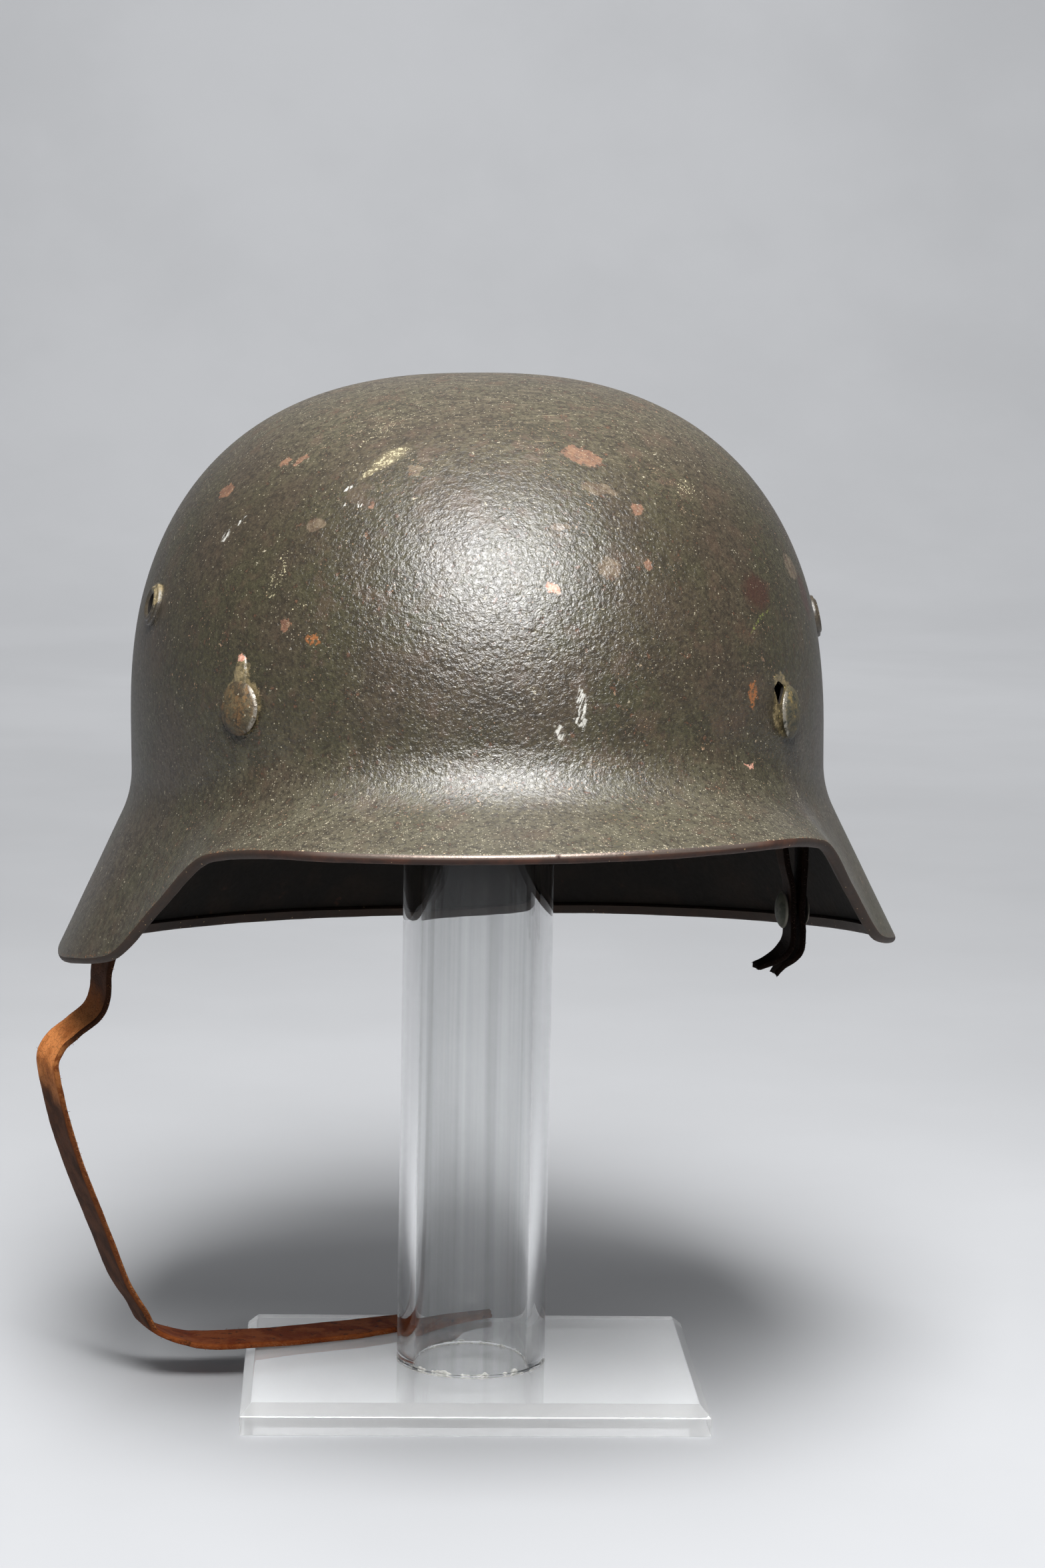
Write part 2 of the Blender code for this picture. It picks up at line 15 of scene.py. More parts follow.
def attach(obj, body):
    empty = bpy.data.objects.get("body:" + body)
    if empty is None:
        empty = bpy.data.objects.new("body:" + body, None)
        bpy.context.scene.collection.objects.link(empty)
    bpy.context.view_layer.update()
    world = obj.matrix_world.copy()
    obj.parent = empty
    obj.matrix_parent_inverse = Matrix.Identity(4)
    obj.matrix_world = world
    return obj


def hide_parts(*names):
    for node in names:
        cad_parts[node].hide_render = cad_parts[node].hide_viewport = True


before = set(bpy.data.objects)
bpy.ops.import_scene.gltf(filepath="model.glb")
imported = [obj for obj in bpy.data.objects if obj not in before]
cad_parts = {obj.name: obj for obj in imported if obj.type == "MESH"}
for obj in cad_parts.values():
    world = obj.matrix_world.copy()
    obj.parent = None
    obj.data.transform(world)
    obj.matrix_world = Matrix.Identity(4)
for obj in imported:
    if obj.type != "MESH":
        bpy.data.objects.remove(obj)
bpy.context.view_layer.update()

bl_info = {
    "name": "Worn Steel Helmet",
    "version": (1, 0, 0),
    "blender": (4, 5, 0),
    "location": "View3D > Sidebar > Helmet",
    "description": "Builds a worn steel helmet with leather chin straps on a clear stand",
    "category": "Add Mesh",
}

MM = 0.001
BODY = "root"
# Millimetres to one unit of a piece's own map
MAP_UNIT = 100.0

# Dome: half width and lengths of its widest plane, height, and the powers of its section
HALF_WIDTH = 90.5
FRONT_LENGTH = 109.5
REAR_LENGTH = 117.0
DOME_HEIGHT = 93.4
PLAN_POWER = 2.05
SIDE_POWER = 2.45
END_POWER = 2.25
WALL = 1.1

# Skirt and visor by azimuth from the brow, in degrees and millimetres
SKIRT_COLUMNS = ("azimuth", "edge_z", "reach", "bend_z", "bend_radius")
SKIRT_STATIONS = (
    (0.0, -16.7, 27.3, -4.0, 20.0),
    (22.0, -16.7, 26.7, -5.1, 20.0),
    (40.0, -21.0, 15.8, -8.2, 18.0),
    (52.0, -35.9, 13.8, -11.4, 20.0),
    (64.0, -51.5, 16.7, -13.8, 24.0),
    (76.0, -55.2, 19.7, -14.5, 27.0),
    (84.0, -57.2, 20.6, -15.0, 27.0),
    (97.0, -59.0, 21.2, -15.8, 27.0),
    (112.0, -61.5, 22.3, -18.3, 28.3),
    (125.0, -63.7, 24.0, -20.7, 30.0),
    (155.0, -67.3, 23.8, -25.8, 38.0),
    (180.0, -69.3, 28.1, -30.1, 42.0),
)
# Where the lower corner on the wearer's right is bent up: azimuth, rise, draw inwards, breadth
WORN_CORNER = (-104.0, 1.9, 0.9, 16.0)
# The rolled rim's radius and the length of the lip that follows it inside
HEM_RADIUS = 1.35
HEM_LIP = 2.4

HELMET_PLACE = Vector((-1.8, -1.9, 179.6))
HELMET_TIP = math.radians(-1.3)
HELMET_LEAN = math.radians(-1.2)

# Rivets: azimuth and height on the dome, how far the head stands off, and its tilt in degrees
RIVETS = {
    "liner_rivet_right": (-41.0, 13.0, 0.3, 0.0),
    "liner_rivet_left": (43.9, 9.4, 0.5, 7.0),
    "liner_rivet_rear": (180.0, 11.0, 0.3, 0.0),
}
SHANK_HOLE = 2.1
# The keyhole: its place, its round end, its neck's half width and length, and how deep it is cut
SLOT_PLACE = (42.0, 15.3)
SLOT_HALF_SIZE = (2.9, 1.95)
SLOT_NECK = (0.6, 3.5)
SLOT_REACH = 4.0
# The raised neck above the right rivet and the dish round the keyhole: place and half sizes, and
# how far the dish's middle stands off
NECK = (-41.4, 20.6, 2.3, 5.6, 0.95)
DISH = (42.7, 13.2, 4.6, 8.4, 1.35, 0.85)

VENTS = ((-73.5, 35.4), (79.0, 29.5))
VENT_RADIUS = 5.6
VENT_RISE = 1.5
VENT_HOLE = 2.7

DOME_ROWS = 64
BEND_ROWS = 16
FLARE_ROWS = 20
HEM_ROWS = 10
# Which of the shell's finishes the rolled rim takes
RIM_FINISH = 2

BAND_BOTTOM = 3.0
BAND_TOP = 19.0
BAND_WALL = 1.0
BAND_SPACE = 2.5
BAND_EASE = 0.3
BALE_WIRE = 1.3
BALE_BEND = 2.2
BALE_HALF_WIDTH = 11.5
BALE_FORWARD = 4.0
BALE_TOP = 3.6
BALE_BAR_OUT = 83.4
BALE_BAR_Z = -19.5

LOOP_RADIUS = 2.9

# Strap routes below their loops: tail side first, then the side that goes on
SHORT_TAIL = ((75.4, -5.0, 115.4), (78.2, -5.0, 116.8), (81.2, -5.0, 119.2), (83.3, -5.0, 122.6),
              (83.6, -5.0, 127.0), (83.3, -5.0, 132.0), (83.0, -5.2, 138.0), (81.4, -5.5, 144.0),
              (80.2, -5.8, 151.0), (79.6, -6.1, 157.5))
SHORT_END = ((85.2, -6.1, 157.5), (86.0, -5.8, 151.0), (86.2, -5.5, 145.0), (86.0, -5.2, 138.0),
             (85.8, -5.0, 132.0), (86.3, -5.0, 126.5), (86.1, -5.0, 121.8), (84.4, -5.0, 118.6),
             (82.2, -5.0, 116.0), (80.6, -5.0, 113.4))
SHORT_TURNS = (3.0, 3.0, 2.0, 0.0, 0.0, 2.0, 3.0, 3.0)
LONG_TAIL = ((-93.7, -3.4, 121.2), (-93.0, -3.6, 124.0), (-90.4, -4.2, 133.0), (-86.6, -5.0, 143.0),
             (-83.4, -5.8, 151.0), (-82.2, -6.2, 155.0))
LONG_WAY = ((-88.0, -6.2, 154.0), (-90.0, -5.6, 147.0), (-92.9, -4.2, 138.0), (-95.4, -2.8, 130.0),
            (-98.0, -1.4, 121.5), (-99.7, -0.5, 115.0), (-100.2, 0.5, 108.6), (-102.2, 1.0, 104.0),
            (-107.0, 1.6, 99.6), (-111.3, 2.0, 95.6), (-113.6, 2.5, 91.0), (-113.3, 3.0, 86.4),
            (-112.2, 4.0, 81.1), (-109.5, 5.5, 70.0), (-105.9, 7.0, 58.7), (-102.3, 8.5, 49.1),
            (-98.7, 10.0, 39.5), (-94.2, 12.0, 27.9), (-89.8, 13.5, 20.4), (-86.6, 14.8, 14.4),
            (-82.0, 15.5, 12.0), (-76.0, 16.0, 10.2), (-69.0, 16.2, 9.6), (-60.0, 16.6, 9.8),
            (-50.0, 19.2, 9.4), (-39.0, 22.4, 9.4), (-28.0, 25.4, 9.4), (-16.4, 29.0, 9.4),
            (-6.8, 31.8, 9.4), (3.0, 34.6, 9.4), (13.9, 36.5, 9.4))
LONG_TURNS = (0.0, 0.0, 0.0, -6.0, -14.0, -18.0, -20.0, -20.0, -18.0, -18.0, -18.0, -17.0, -16.0)

# Studs: middle, the way the button faces, and how far apart the two leathers' middles are
STUDS = {
    "strap_stud_left": ((84.5, -5.0, 131.4), (-0.990, -0.12, 0.0), 2.9),
    "strap_stud_right": ((-92.3, -3.7, 133.4), (0.95, 0.0, -0.30), 5.2),
}
STUD_RISE = 1.6
STUD_SHANK = 1.5
# How far a stud's head and washer stand off the leather, and the play of its hole
STUD_SPACE = 0.45
STUD_PLAY = 0.3
# The fasteners' other sizes, by the names of their tree's inputs
STUD_SIZES = {"Head Under": 0.4, "Washer Radius": 4.2, "Washer Thickness": 0.8, "Leg Width": 1.0,
              "Leg Reach": 1.0, "Leg Thickness": 1.0}
RIVET_SIZES = {"Head Under": 0.4, "Shank Radius": 1.8, "Leg Width": 3.2, "Leg Reach": 8.0,
               "Leg Thickness": 0.9, "Washer Radius": 3.0, "Washer Thickness": 1.0}
# How far behind the hoop a rivet's legs lie
LEG_SPACE = 1.1
# How far a punch or a drill reaches to each side of the wall it goes through
DRILL_REACH = 6.0

# Each strap: the helmet's side, its routes and turns, its stud, its frayed stretches (from, to and
# edge), the tapers of its ends (length and share of the width left) and its fibres' seed
STRAPS = {
    "chin_strap_long": (-1.0, LONG_TAIL, LONG_WAY, LONG_TURNS, "strap_stud_right",
                        ((4.0, 31.0, -1.0), (70.0, 300.0, -1.0), (70.0, 300.0, 1.0)),
                        ((7.0, 0.5), (50.0, 0.30)), 3),
    "chin_strap_short": (1.0, SHORT_TAIL, SHORT_END, SHORT_TURNS, "strap_stud_left",
                         ((0.5, 44.0, -1.0), (62.0, 105.0, -1.0), (0.5, 105.0, 1.0)),
                         ((9.0, 0.5), (9.0, 0.45)), 5),
}
# Their leather's name, then by run along the strap: up to where its edges are dark, between which runs its
# face has worn raw, from where it lies down, and how strong its tones, its raw leather and its shine are.
# The short strap's low tones paint the shade under the helmet's flare into its leather.
LEATHERS = {
    "chin_strap_long": ("long_strap_leather", 112.0, ((104.0, 119.0), (143.0, 127.0)), 206.0,
                        1.0, 1.9, 0.05),
    "chin_strap_short": ("short_strap_leather", 300.0, ((26.0, 31.0), (60.0, 50.0)), 900.0,
                         0.14, 0.06, 0.08),
}
# Their fibres' material, with its tone beside the raw leather, and the fibres' sizes; the short strap's
# dark fibres are painted shade
FIBRES = {"chin_strap_long": ("raw_fibre", 1.0), "chin_strap_short": ("dark_fibre", 0.16)}
FIBRE_SIZES = {"Spacing": 0.55, "Length": 0.9, "Thickness": 0.05}
# How far the torn ends run in and out along the strap
TORN_DEPTH = 1.6

PLATE_SIZE = Vector((122.5, 90.5, 8.0))
PLATE_BEVEL = 3.0
PLATE_TURN = math.radians(-4.8)
PLATE_EASE = 0.22
TUBE_OUTER = 20.0
TUBE_INNER = 15.2
TUBE_FOOT = 8.04
TUBE_TOP = 270.1
TUBE_EASE = 0.3
TUBE_FOOT_EASE = 0.06
# Dried cement inside and outside the tube's foot: radius, thickness and seed
CEMENT_BEADS = ((TUBE_INNER - 0.1, 0.42, 3.0), (TUBE_OUTER + 0.05, 0.16, 8.0))

# The floor lies a hair below the plate, so that light gets under its clear bottom
FLOOR = -0.0004
HELMET_MIDDLE = (0.0, -0.01, 0.19)
# Lamps: azimuth and elevation in degrees, distance and size in metres, power, spread in degrees, the
# place they aim at and whether the pieces mirror them
LAMPS = {
    "main_softbox": (-4.0, 54.0, 1.25, (0.66, 0.80), 9.6, 85.0, HELMET_MIDDLE, True),
    "top_softbox": (4.0, 80.0, 1.2, (0.5, 0.4), 2.5, 180.0, HELMET_MIDDLE, True),
    "backdrop_wash": (0.0, 45.0, 2.2, (1.3, 0.6), 60.0, 180.0, (0.35, 3.0, 0.6), False),
    "floor_wash_0": (90.0, 50.0, 2.3, (0.6, 1.2), 16.0, 110.0, (-3.0, 0.0, 0.0), False),
    "floor_wash_1": (-90.0, 50.0, 2.3, (0.6, 1.2), 16.0, 110.0, (3.0, 0.0, 0.0), False),
    "floor_wash_2": (180.0, 50.0, 2.3, (0.6, 1.2), 16.0, 110.0, (0.0, -3.4, 0.0), False),
}

# Camera, worked out from the stand's plate and tube
CAMERA_TURN = math.radians(-7.65)
CAMERA_AWAY = 973.9
CAMERA_HEIGHT = 290.7
CAMERA_ASIDE = 11.2
CAMERA_DOWN = math.radians(7.37)
CAMERA_ROLL = math.radians(1.05)
CAMERA_LENS = 85.0
CAMERA_FILM = 36.0

# Marks on the paint: azimuth and height on the dome, half width and half height, slant in degrees
RUST_MARKS = (
    (14.0, 72.9, 5.4, 3.6, -35.0),
    (20.0, 60.4, 1.6, 2.2, 10.0),
    (-47.2, 71.4, 1.9, 1.5, 30.0),
    (-43.2, 72.2, 1.2, 2.4, -32.0),
    (-23.4, 61.4, 0.9, 0.9, 0.0),
    (-61.0, 64.2, 3.6, 2.0, 0.0),
    (-34.0, 33.5, 1.4, 2.0, 0.0),
    (19.0, 47.0, 1.2, 1.6, 20.0),
)
TAN_MARKS = (
    (14.5, 65.2, 4.8, 2.0, -14.0),
    (-17.0, 69.9, 1.9, 1.7, 0.0),
    (-32.5, 57.1, 2.6, 1.8, 10.0),
    (6.2, 56.6, 2.8, 1.2, 0.0),
    (12.4, 46.6, 3.4, 2.6, 10.0),
    (58.0, 44.0, 5.0, 3.4, 0.0),
)
CREAM_MARKS = (
    (-22.8, 72.9, 3.0, 6.4, -38.0),
    (-25.6, 69.4, 1.3, 3.8, -36.0),
)
CREAM_TRAILS = (
    (-27.0, 79.8, 2.6, 8.6, -22.0),
    (-31.6, 38.0, 2.2, 1.4, 0.0),
    (6.5, 74.6, 4.6, 1.6, -18.0),
    (33.0, 64.5, 5.0, 3.0, 10.0),
    (-37.0, 45.0, 2.4, 7.0, 0.0),
)
WHITE_MARKS = (
    (6.6, 15.9, 1.3, 4.3, 4.0),
    (6.2, 11.3, 1.9, 1.2, 0.0),
    (3.7, 8.8, 1.7, 1.4, -30.0),
    (-52.2, 54.8, 0.9, 3.6, -30.0),
    (-50.6, 57.0, 0.8, 2.8, -48.0),
    (-28.4, 65.6, 0.9, 0.6, 25.0),
    (-28.6, 61.4, 1.2, 0.5, 35.0),
    (-25.6, 61.8, 0.9, 0.8, 40.0),
)
DARK_RED_MARKS = (
    (40.0, 39.4, 6.0, 5.2, 0.0),
    (62.0, 36.0, 5.0, 6.0, 0.0),
)
# Tan round the rivets, on the raised neck and round the keyhole; on the raised neck the pale tan is partly
# a painted highlight of its top
HALO_MARKS = (
    (-41.1, 13.5, 6.9, 7.3, 0.0),
    (-41.4, 20.6, 2.6, 5.0, 0.0),
    (43.6, 10.2, 7.0, 7.4, 0.0),
    (42.2, 15.4, 3.6, 4.4, 0.0),
    (-72.0, 37.4, 3.6, 3.4, 0.0),
)
ORANGE_MARKS = (
    (34.6, 15.0, 1.7, 3.8, -12.0),
    (-29.0, 30.1, 2.2, 1.2, 0.0),
    (42.0, -22.3, 6.0, 1.2, 10.0),
)
PINK_MARKS = (
    (4.0, 42.5, 2.2, 1.5, -35.0),
    (32.6, -2.4, 2.3, 0.5, -4.0),
    (-41.5, 25.0, 1.1, 1.2, 0.0),
)
GREEN_MARKS = ((39.0, 32.6, 7.6, 0.5, 24.0),)
WIPED_MARKS = ((-27.0, 42.0, 17.0, 7.0, 0.0),)


class HelmetShellSettings(bpy.types.PropertyGroup):
    """Fineness and waves of the shell, and its paint's colours."""
    around: IntProperty(name="Steps Around", description="Mesh columns round the helmet",
                        default=340, min=60, max=420)
    waves: FloatProperty(name="Waves", description="Height of the shallow waves in the steel",
                         default=0.16 * MM, unit="LENGTH", subtype="DISTANCE")
    paint: FloatVectorProperty(name="Paint", description="Olive brown paint",
                               default=(0.052, 0.044, 0.029), subtype="COLOR", size=3)
    dust: FloatVectorProperty(name="Dust", description="Paler rubbed paint of the visor",
                              default=(0.105, 0.094, 0.062), subtype="COLOR", size=3)
    rust: FloatVectorProperty(name="Rust", description="Thin rust where the paint has gone",
                              default=(0.235, 0.112, 0.058), subtype="COLOR", size=3)
    rim: FloatVectorProperty(name="Rim", description="Brown primer on the worn rim",
                             default=(0.036, 0.0175, 0.012), subtype="COLOR", size=3)
    # Dark paint inside, darkened further as painted shade of the shell's hollow.
    inside_dark_and_shade: FloatVectorProperty(name="Inside", description="Dark paint inside the shell",
                                default=(0.0105, 0.0085, 0.0068), subtype="COLOR", size=3)


class HelmetFittingSettings(bpy.types.PropertyGroup):
    """Sizes and colours of the rivets, the hoop and the studs."""
    rivet_radius: FloatProperty(name="Rivet Head", description="Radius of a rivet's head",
                                default=6.6 * MM, unit="LENGTH", subtype="DISTANCE")
    rivet_rise: FloatProperty(name="Rivet Rise", description="Height of a rivet's domed head",
                              default=2.0 * MM, unit="LENGTH", subtype="DISTANCE")
    stud_radius: FloatProperty(name="Stud Button", description="Radius of a strap stud's button",
                               default=5.0 * MM, unit="LENGTH", subtype="DISTANCE")
    patina: FloatVectorProperty(name="Patina", description="Brown and green tarnish",
                                default=(0.13, 0.070, 0.027), subtype="COLOR", size=3)
    brass: FloatVectorProperty(name="Brass", description="Olive tarnish of the left rivet",
                               default=(0.095, 0.076, 0.040), subtype="COLOR", size=3)
    steel: FloatVectorProperty(name="Bare Steel", description="Rubbed metal",
                               default=(0.36, 0.33, 0.28), subtype="COLOR", size=3)


class HelmetStrapSettings(bpy.types.PropertyGroup):
    """Size and colours of the chin straps."""
    width: FloatProperty(name="Width", description="Width of the leather",
                         default=15.0 * MM, unit="LENGTH", subtype="DISTANCE")
    wall: FloatProperty(name="Thickness", description="Thickness of the leather",
                        default=1.5 * MM, unit="LENGTH", subtype="DISTANCE")
    grain: FloatVectorProperty(name="Grain", description="Dark worn face of the leather",
                               default=(0.088, 0.037, 0.020), subtype="COLOR", size=3)
    raw: FloatVectorProperty(name="Raw Leather", description="Orange brown torn leather",
                             default=(0.36, 0.135, 0.042), subtype="COLOR", size=3)


class HelmetStandSettings(bpy.types.PropertyGroup):
    """Look of the clear stand, the floor and the camera's lens."""
    clear: FloatVectorProperty(name="Acrylic", description="Tint of the clear acrylic",
                               default=(0.93, 0.936, 0.936), subtype="COLOR", size=3)
    floor: FloatVectorProperty(name="Floor", description="Pale floor and backdrop",
                               default=(0.43, 0.437, 0.451), subtype="COLOR", size=3)
    lens: FloatProperty(name="Lens", description="Focal length in millimetres",
                        default=CAMERA_LENS, min=20.0, max=200.0)


# Curves through the skirt's stations

def monotone_slopes(places, values):
    """Slopes of a curve through the points that never swings past them, level at both ends."""
    rises = np.diff(values) / np.diff(places)
    slopes = np.zeros(len(values))
    for i in range(1, len(values) - 1):
        before, after = rises[i - 1], rises[i]
        if before * after > 0.0:
            slopes[i] = 2.0 * before * after / (before + after)
    return slopes


def skirt(column, azimuth):
    """Value of one skirt column at an azimuth, the same on both sides."""
    places = np.array([row[0] for row in SKIRT_STATIONS])
    values = np.array([row[SKIRT_COLUMNS.index(column)] for row in SKIRT_STATIONS])
    slopes = monotone_slopes(places, values)
    turn = abs((azimuth + 180.0) % 360.0 - 180.0)
    i = min(int(np.searchsorted(places, turn, side="right")) - 1, len(places) - 2)
    span = places[i + 1] - places[i]
    t = (turn - places[i]) / span
    start = (1.0 + 2.0 * t) * (1.0 - t) ** 2 * values[i] + t * (1.0 - t) ** 2 * span * slopes[i]
    end = t * t * (3.0 - 2.0 * t) * values[i + 1] + t * t * (t - 1.0) * span * slopes[i + 1]
    return float(start + end)


# The dome

def plan_radius(azimuth):
    """Half the dome's size at its widest plane, along an azimuth."""
    side = math.sin(math.radians(azimuth))
    ahead = math.cos(math.radians(azimuth))
    length = FRONT_LENGTH if ahead > 0.0 else REAR_LENGTH
    total = abs(side / HALF_WIDTH) ** PLAN_POWER + abs(ahead / length) ** PLAN_POWER
    return total ** (-1.0 / PLAN_POWER)


def section_power(azimuth):
    """How square the dome's upright section is along an azimuth."""
    return SIDE_POWER + (END_POWER - SIDE_POWER) * math.cos(math.radians(azimuth)) ** 2


def dome_radius(azimuth, height):
    """Distance from the axis to the dome's outer surface."""
    power = section_power(azimuth)
    share = min(max(height, 0.0) / DOME_HEIGHT, 1.0)
    return plan_radius(azimuth) * (1.0 - share ** power) ** (1.0 / power)


def outward(azimuth, radius, height):
    """The point this far from the helmet's axis along an azimuth."""
    turn = math.radians(azimuth)
    return Vector((radius * math.sin(turn), -radius * math.cos(turn), height))


def helmet_matrix():
    """Where the level helmet's own frame sits on the stand."""
    turn = Matrix.Rotation(HELMET_LEAN, 4, "Y") @ Matrix.Rotation(HELMET_TIP, 4, "X")
    return Matrix.Translation(HELMET_PLACE) @ turn


def surface_frame(azimuth, height):
    """A place on the dome: +Z points straight out of the surface and +Y up along it."""
    step = 0.5
    here = outward(azimuth, dome_radius(azimuth, height), height)
    beside = outward(azimuth + step, dome_radius(azimuth + step, height), height) - here
    if height < 0.0:
        slope = Vector((0.0, 0.0, 1.0)) - 0.55 * outward(azimuth, 1.0, 0.0)
    else:
        slope = outward(azimuth, dome_radius(azimuth, height + step), height + step) - here
    normal = beside.cross(slope).normalized()
    right = beside.normalized()
    axes = Matrix((right, normal.cross(right), normal)).transposed().to_4x4()
    return Matrix.Translation(here) @ axes


def on_dome(azimuth, height):
    """The same place with the helmet set down on the stand, still in millimetres."""
    return helmet_matrix() @ surface_frame(azimuth, height)


def meridian(azimuth, dome_rows, bend_rows, flare_rows):
    """Outer surface from the first ring below the crown down to the flare's edge."""
    middle, rise, draw, breadth = WORN_CORNER
    away = (azimuth - middle + 180.0) % 360.0 - 180.0
    bent = math.exp(-(away / breadth) ** 2)
    edge_z = skirt("edge_z", azimuth) + rise * bent
    reach = skirt("reach", azimuth) - draw * bent
    bend_z = skirt("bend_z", azimuth)
    length = math.hypot(reach, bend_z - edge_z)
    turn = math.acos((bend_z - edge_z) / length)
    tangent = min(skirt("bend_radius", azimuth) * math.tan(turn / 2.0), 0.9 * length)
    radius = tangent / math.tan(turn / 2.0)
    start_z = bend_z + tangent
    power = section_power(azimuth)
    points = []
    for i in range(1, dome_rows + 1):
        share = math.cos(0.5 * math.pi * i / dome_rows) ** (2.0 / power) if i < dome_rows else 0.0
        height = start_z + (DOME_HEIGHT - start_z) * share
        points.append(outward(azimuth, dome_radius(azimuth, height), height))
    for i in range(1, bend_rows + 1):
        angle = turn * i / bend_rows
        out = radius * (1.0 - math.cos(angle))
        height = start_z - radius * math.sin(angle)
        points.append(outward(azimuth, dome_radius(azimuth, height) + out, height))
    bend_out = radius * (1.0 - math.cos(turn))
    bend_end = start_z - radius * math.sin(turn)
    for i in range(1, flare_rows + 1):
        share = i / flare_rows
        out = bend_out + (reach - bend_out) * share
        height = bend_end + (edge_z - bend_end) * share
        points.append(outward(azimuth, dome_radius(azimuth, height) + out, height))
    return points


def hem_points(edge, along_rim, down_flare, radius, rows):
    """The rim rolled in and up: half a turn, then a short lip against the inner wall."""
    inward = along_rim.cross(down_flare).normalized()
    down = inward.cross(along_rim).normalized()
    centre = edge - down * radius + inward * radius
    points = []
    for i in range(rows + 1):
        angle = math.pi * i / rows
        points.append(centre + radius * (down * math.sin(angle) - inward * math.cos(angle)))
    last = points[-1]
    points += [last - down * HEM_LIP * share for share in (0.35, 0.7, 1.0)]
    return points


def wave(point, size, seed=0.0):
    """Smooth noise between -1 and 1 whose swells are about this many millimetres across."""
    return noise.noise(Vector(point) / size + Vector((seed, seed * 1.7, -seed)))


def shell_grid(around, waves):
    """The outer surface's columns of points, with shallow waves and an uneven rolled rim."""
    azimuths = [360.0 * i / around for i in range(around)]
    columns = [meridian(azimuth, DOME_ROWS, BEND_ROWS, FLARE_ROWS) for azimuth in azimuths]
    for azimuth, column in zip(azimuths, columns):
        away = outward(azimuth, 1.0, 0.5)
        for j, point in enumerate(column):
            swell = 0.6 * wave(point, 34.0) + 0.35 * wave(point, 14.0, 3.0)
            column[j] = point + away * waves * swell
    edges = [column[-1] for column in columns]
    for i, column in enumerate(columns):
        along_rim = (edges[(i + 1) % around] - edges[i - 1]).normalized()
        down_flare = (column[-1] - column[-3]).normalized()
        uneven = 1.0 + 0.06 * wave(edges[i], 12.0, 7.0) + 0.04 * wave(edges[i], 4.0, 9.0)
        hem = hem_points(edges[i], along_rim, down_flare, HEM_RADIUS * uneven, HEM_ROWS)
        # The hem takes over the flare's edge, and the rows just above it are kept clear of its start
        column[-2:] = hem
        for k in range(1, 8):
            above = column[-len(hem) - k]
            room = 0.3 * k - (hem[0] - above).dot(down_flare)
            column[-len(hem) - k] = above - down_flare * max(room, 0.0)
    return columns


def shell_form(around, waves):
    """One open sheet from crown to hem, with each point's distance from the rim kept as a map."""
    columns = shell_grid(around, waves)
    place = helmet_matrix()
    form = bmesh.new()
    rim_map = form.loops.layers.uv.new("rim_map")
    crown = form.verts.new(place @ Vector((0.0, 0.0, DOME_HEIGHT)))
    grid = [[form.verts.new(place @ point) for point in column] for column in columns]
    edge_row = DOME_ROWS + BEND_ROWS + FLARE_ROWS - 2
    rises = []
    for column in columns:
        along = run_lengths(column)
        rises.append((along[edge_row] - along) / MAP_UNIT)
    for i in range(around):
        j = (i + 1) % around
        cap = form.faces.new((crown, grid[i][0], grid[j][0]))
        mapped = [(cap, ((i + 0.5, rises[i][0]), (i, rises[i][0]), (i + 1, rises[j][0])))]
        for row in range(len(columns[0]) - 1):
            face = form.faces.new((grid[i][row], grid[i][row + 1], grid[j][row + 1], grid[j][row]))
            face.material_index = RIM_FINISH if row > edge_row else 0
            mapped.append((face, ((i, rises[i][row]), (i, rises[i][row + 1]),
                                  (i + 1, rises[j][row + 1]), (i + 1, rises[j][row]))))
        for face, corners in mapped:
            for loop, (column, rise) in zip(face.loops, corners):
                loop[rim_map].uv = (column / around, rise)
    return form


def vent_profile():
    """A stamped boss round the vent's hole, worn round on its lip, with its foot in the wall."""
    lip = rounded_corner((VENT_RADIUS - 1.7, VENT_RISE - 0.75), 0.75, 100.0, 25.0, 6)
    side = rounded_corner((VENT_RADIUS - 0.9, 0.25), 0.9, 40.0, 0.0, 4)
    return [(0.0, VENT_RISE * 0.5), (VENT_HOLE, VENT_RISE * 0.62), (VENT_HOLE + 0.5, VENT_RISE * 0.9),
            *lip, *side, (VENT_RADIUS, -0.6), (0.0, -0.6)]


def pebble_profile(steps):
    """Profile of a ball of radius one, poles closed, to be squeezed by its place."""
    return [(math.sin(math.pi * i / steps) if 0 < i < steps else 0.0,
             math.cos(math.pi * i / steps)) for i in range(steps + 1)]


def drill_profile(radius):
    """Profile of a straight drill through a wall."""
    return [(0.0, DRILL_REACH), (radius, DRILL_REACH), (radius, -DRILL_REACH), (0.0, -DRILL_REACH)]


def keyhole_form(form):
    """The worn slot above the left rivet: a round end and a neck that narrows towards it."""
    place = on_dome(*SLOT_PLACE)
    across, tall = SLOT_HALF_SIZE
    outline = []
    for i in range(25):
        angle = math.radians(-30.0 + 240.0 * i / 24)
        worn = 1.0 + 0.05 * math.sin(5.0 * angle)
        outline.append((worn * across * math.cos(angle), worn * tall * math.sin(angle)))
    across, down = SLOT_NECK
    outline += [(-across, -down), (across, -down)]
    lower, upper = ([form.verts.new(place @ Vector((x, y, z))) for x, y in outline]
                    for z in (-SLOT_REACH, SLOT_REACH))
    form.faces.new(lower[::-1])
    form.faces.new(upper)
    joined_rings(form, lower, upper)


def away_from_rim(form):
    """Marks a form as 50 mm up from the rim on the paint's map, so that it takes no rim wear."""
    rim_map = form.loops.layers.uv.new("rim_map")
    for face in form.faces:
        for loop in face.loops:
            loop[rim_map].uv = (0.5, 0.5)
    return form


def raised_form():
    """What stands up from the plate: the vents' bosses and the filled neck above a rivet."""
    form = bmesh.new()
    for azimuth, height in VENTS:
        lathe(vent_profile(), on_dome(azimuth, height), 40, form)
    azimuth, height, half_width, half_length, rise = NECK
    squeeze = Matrix.Diagonal((half_width, half_length, rise, 1.0))
    lathe(pebble_profile(14), on_dome(azimuth, height) @ squeeze, 36, form)
    return away_from_rim(form)


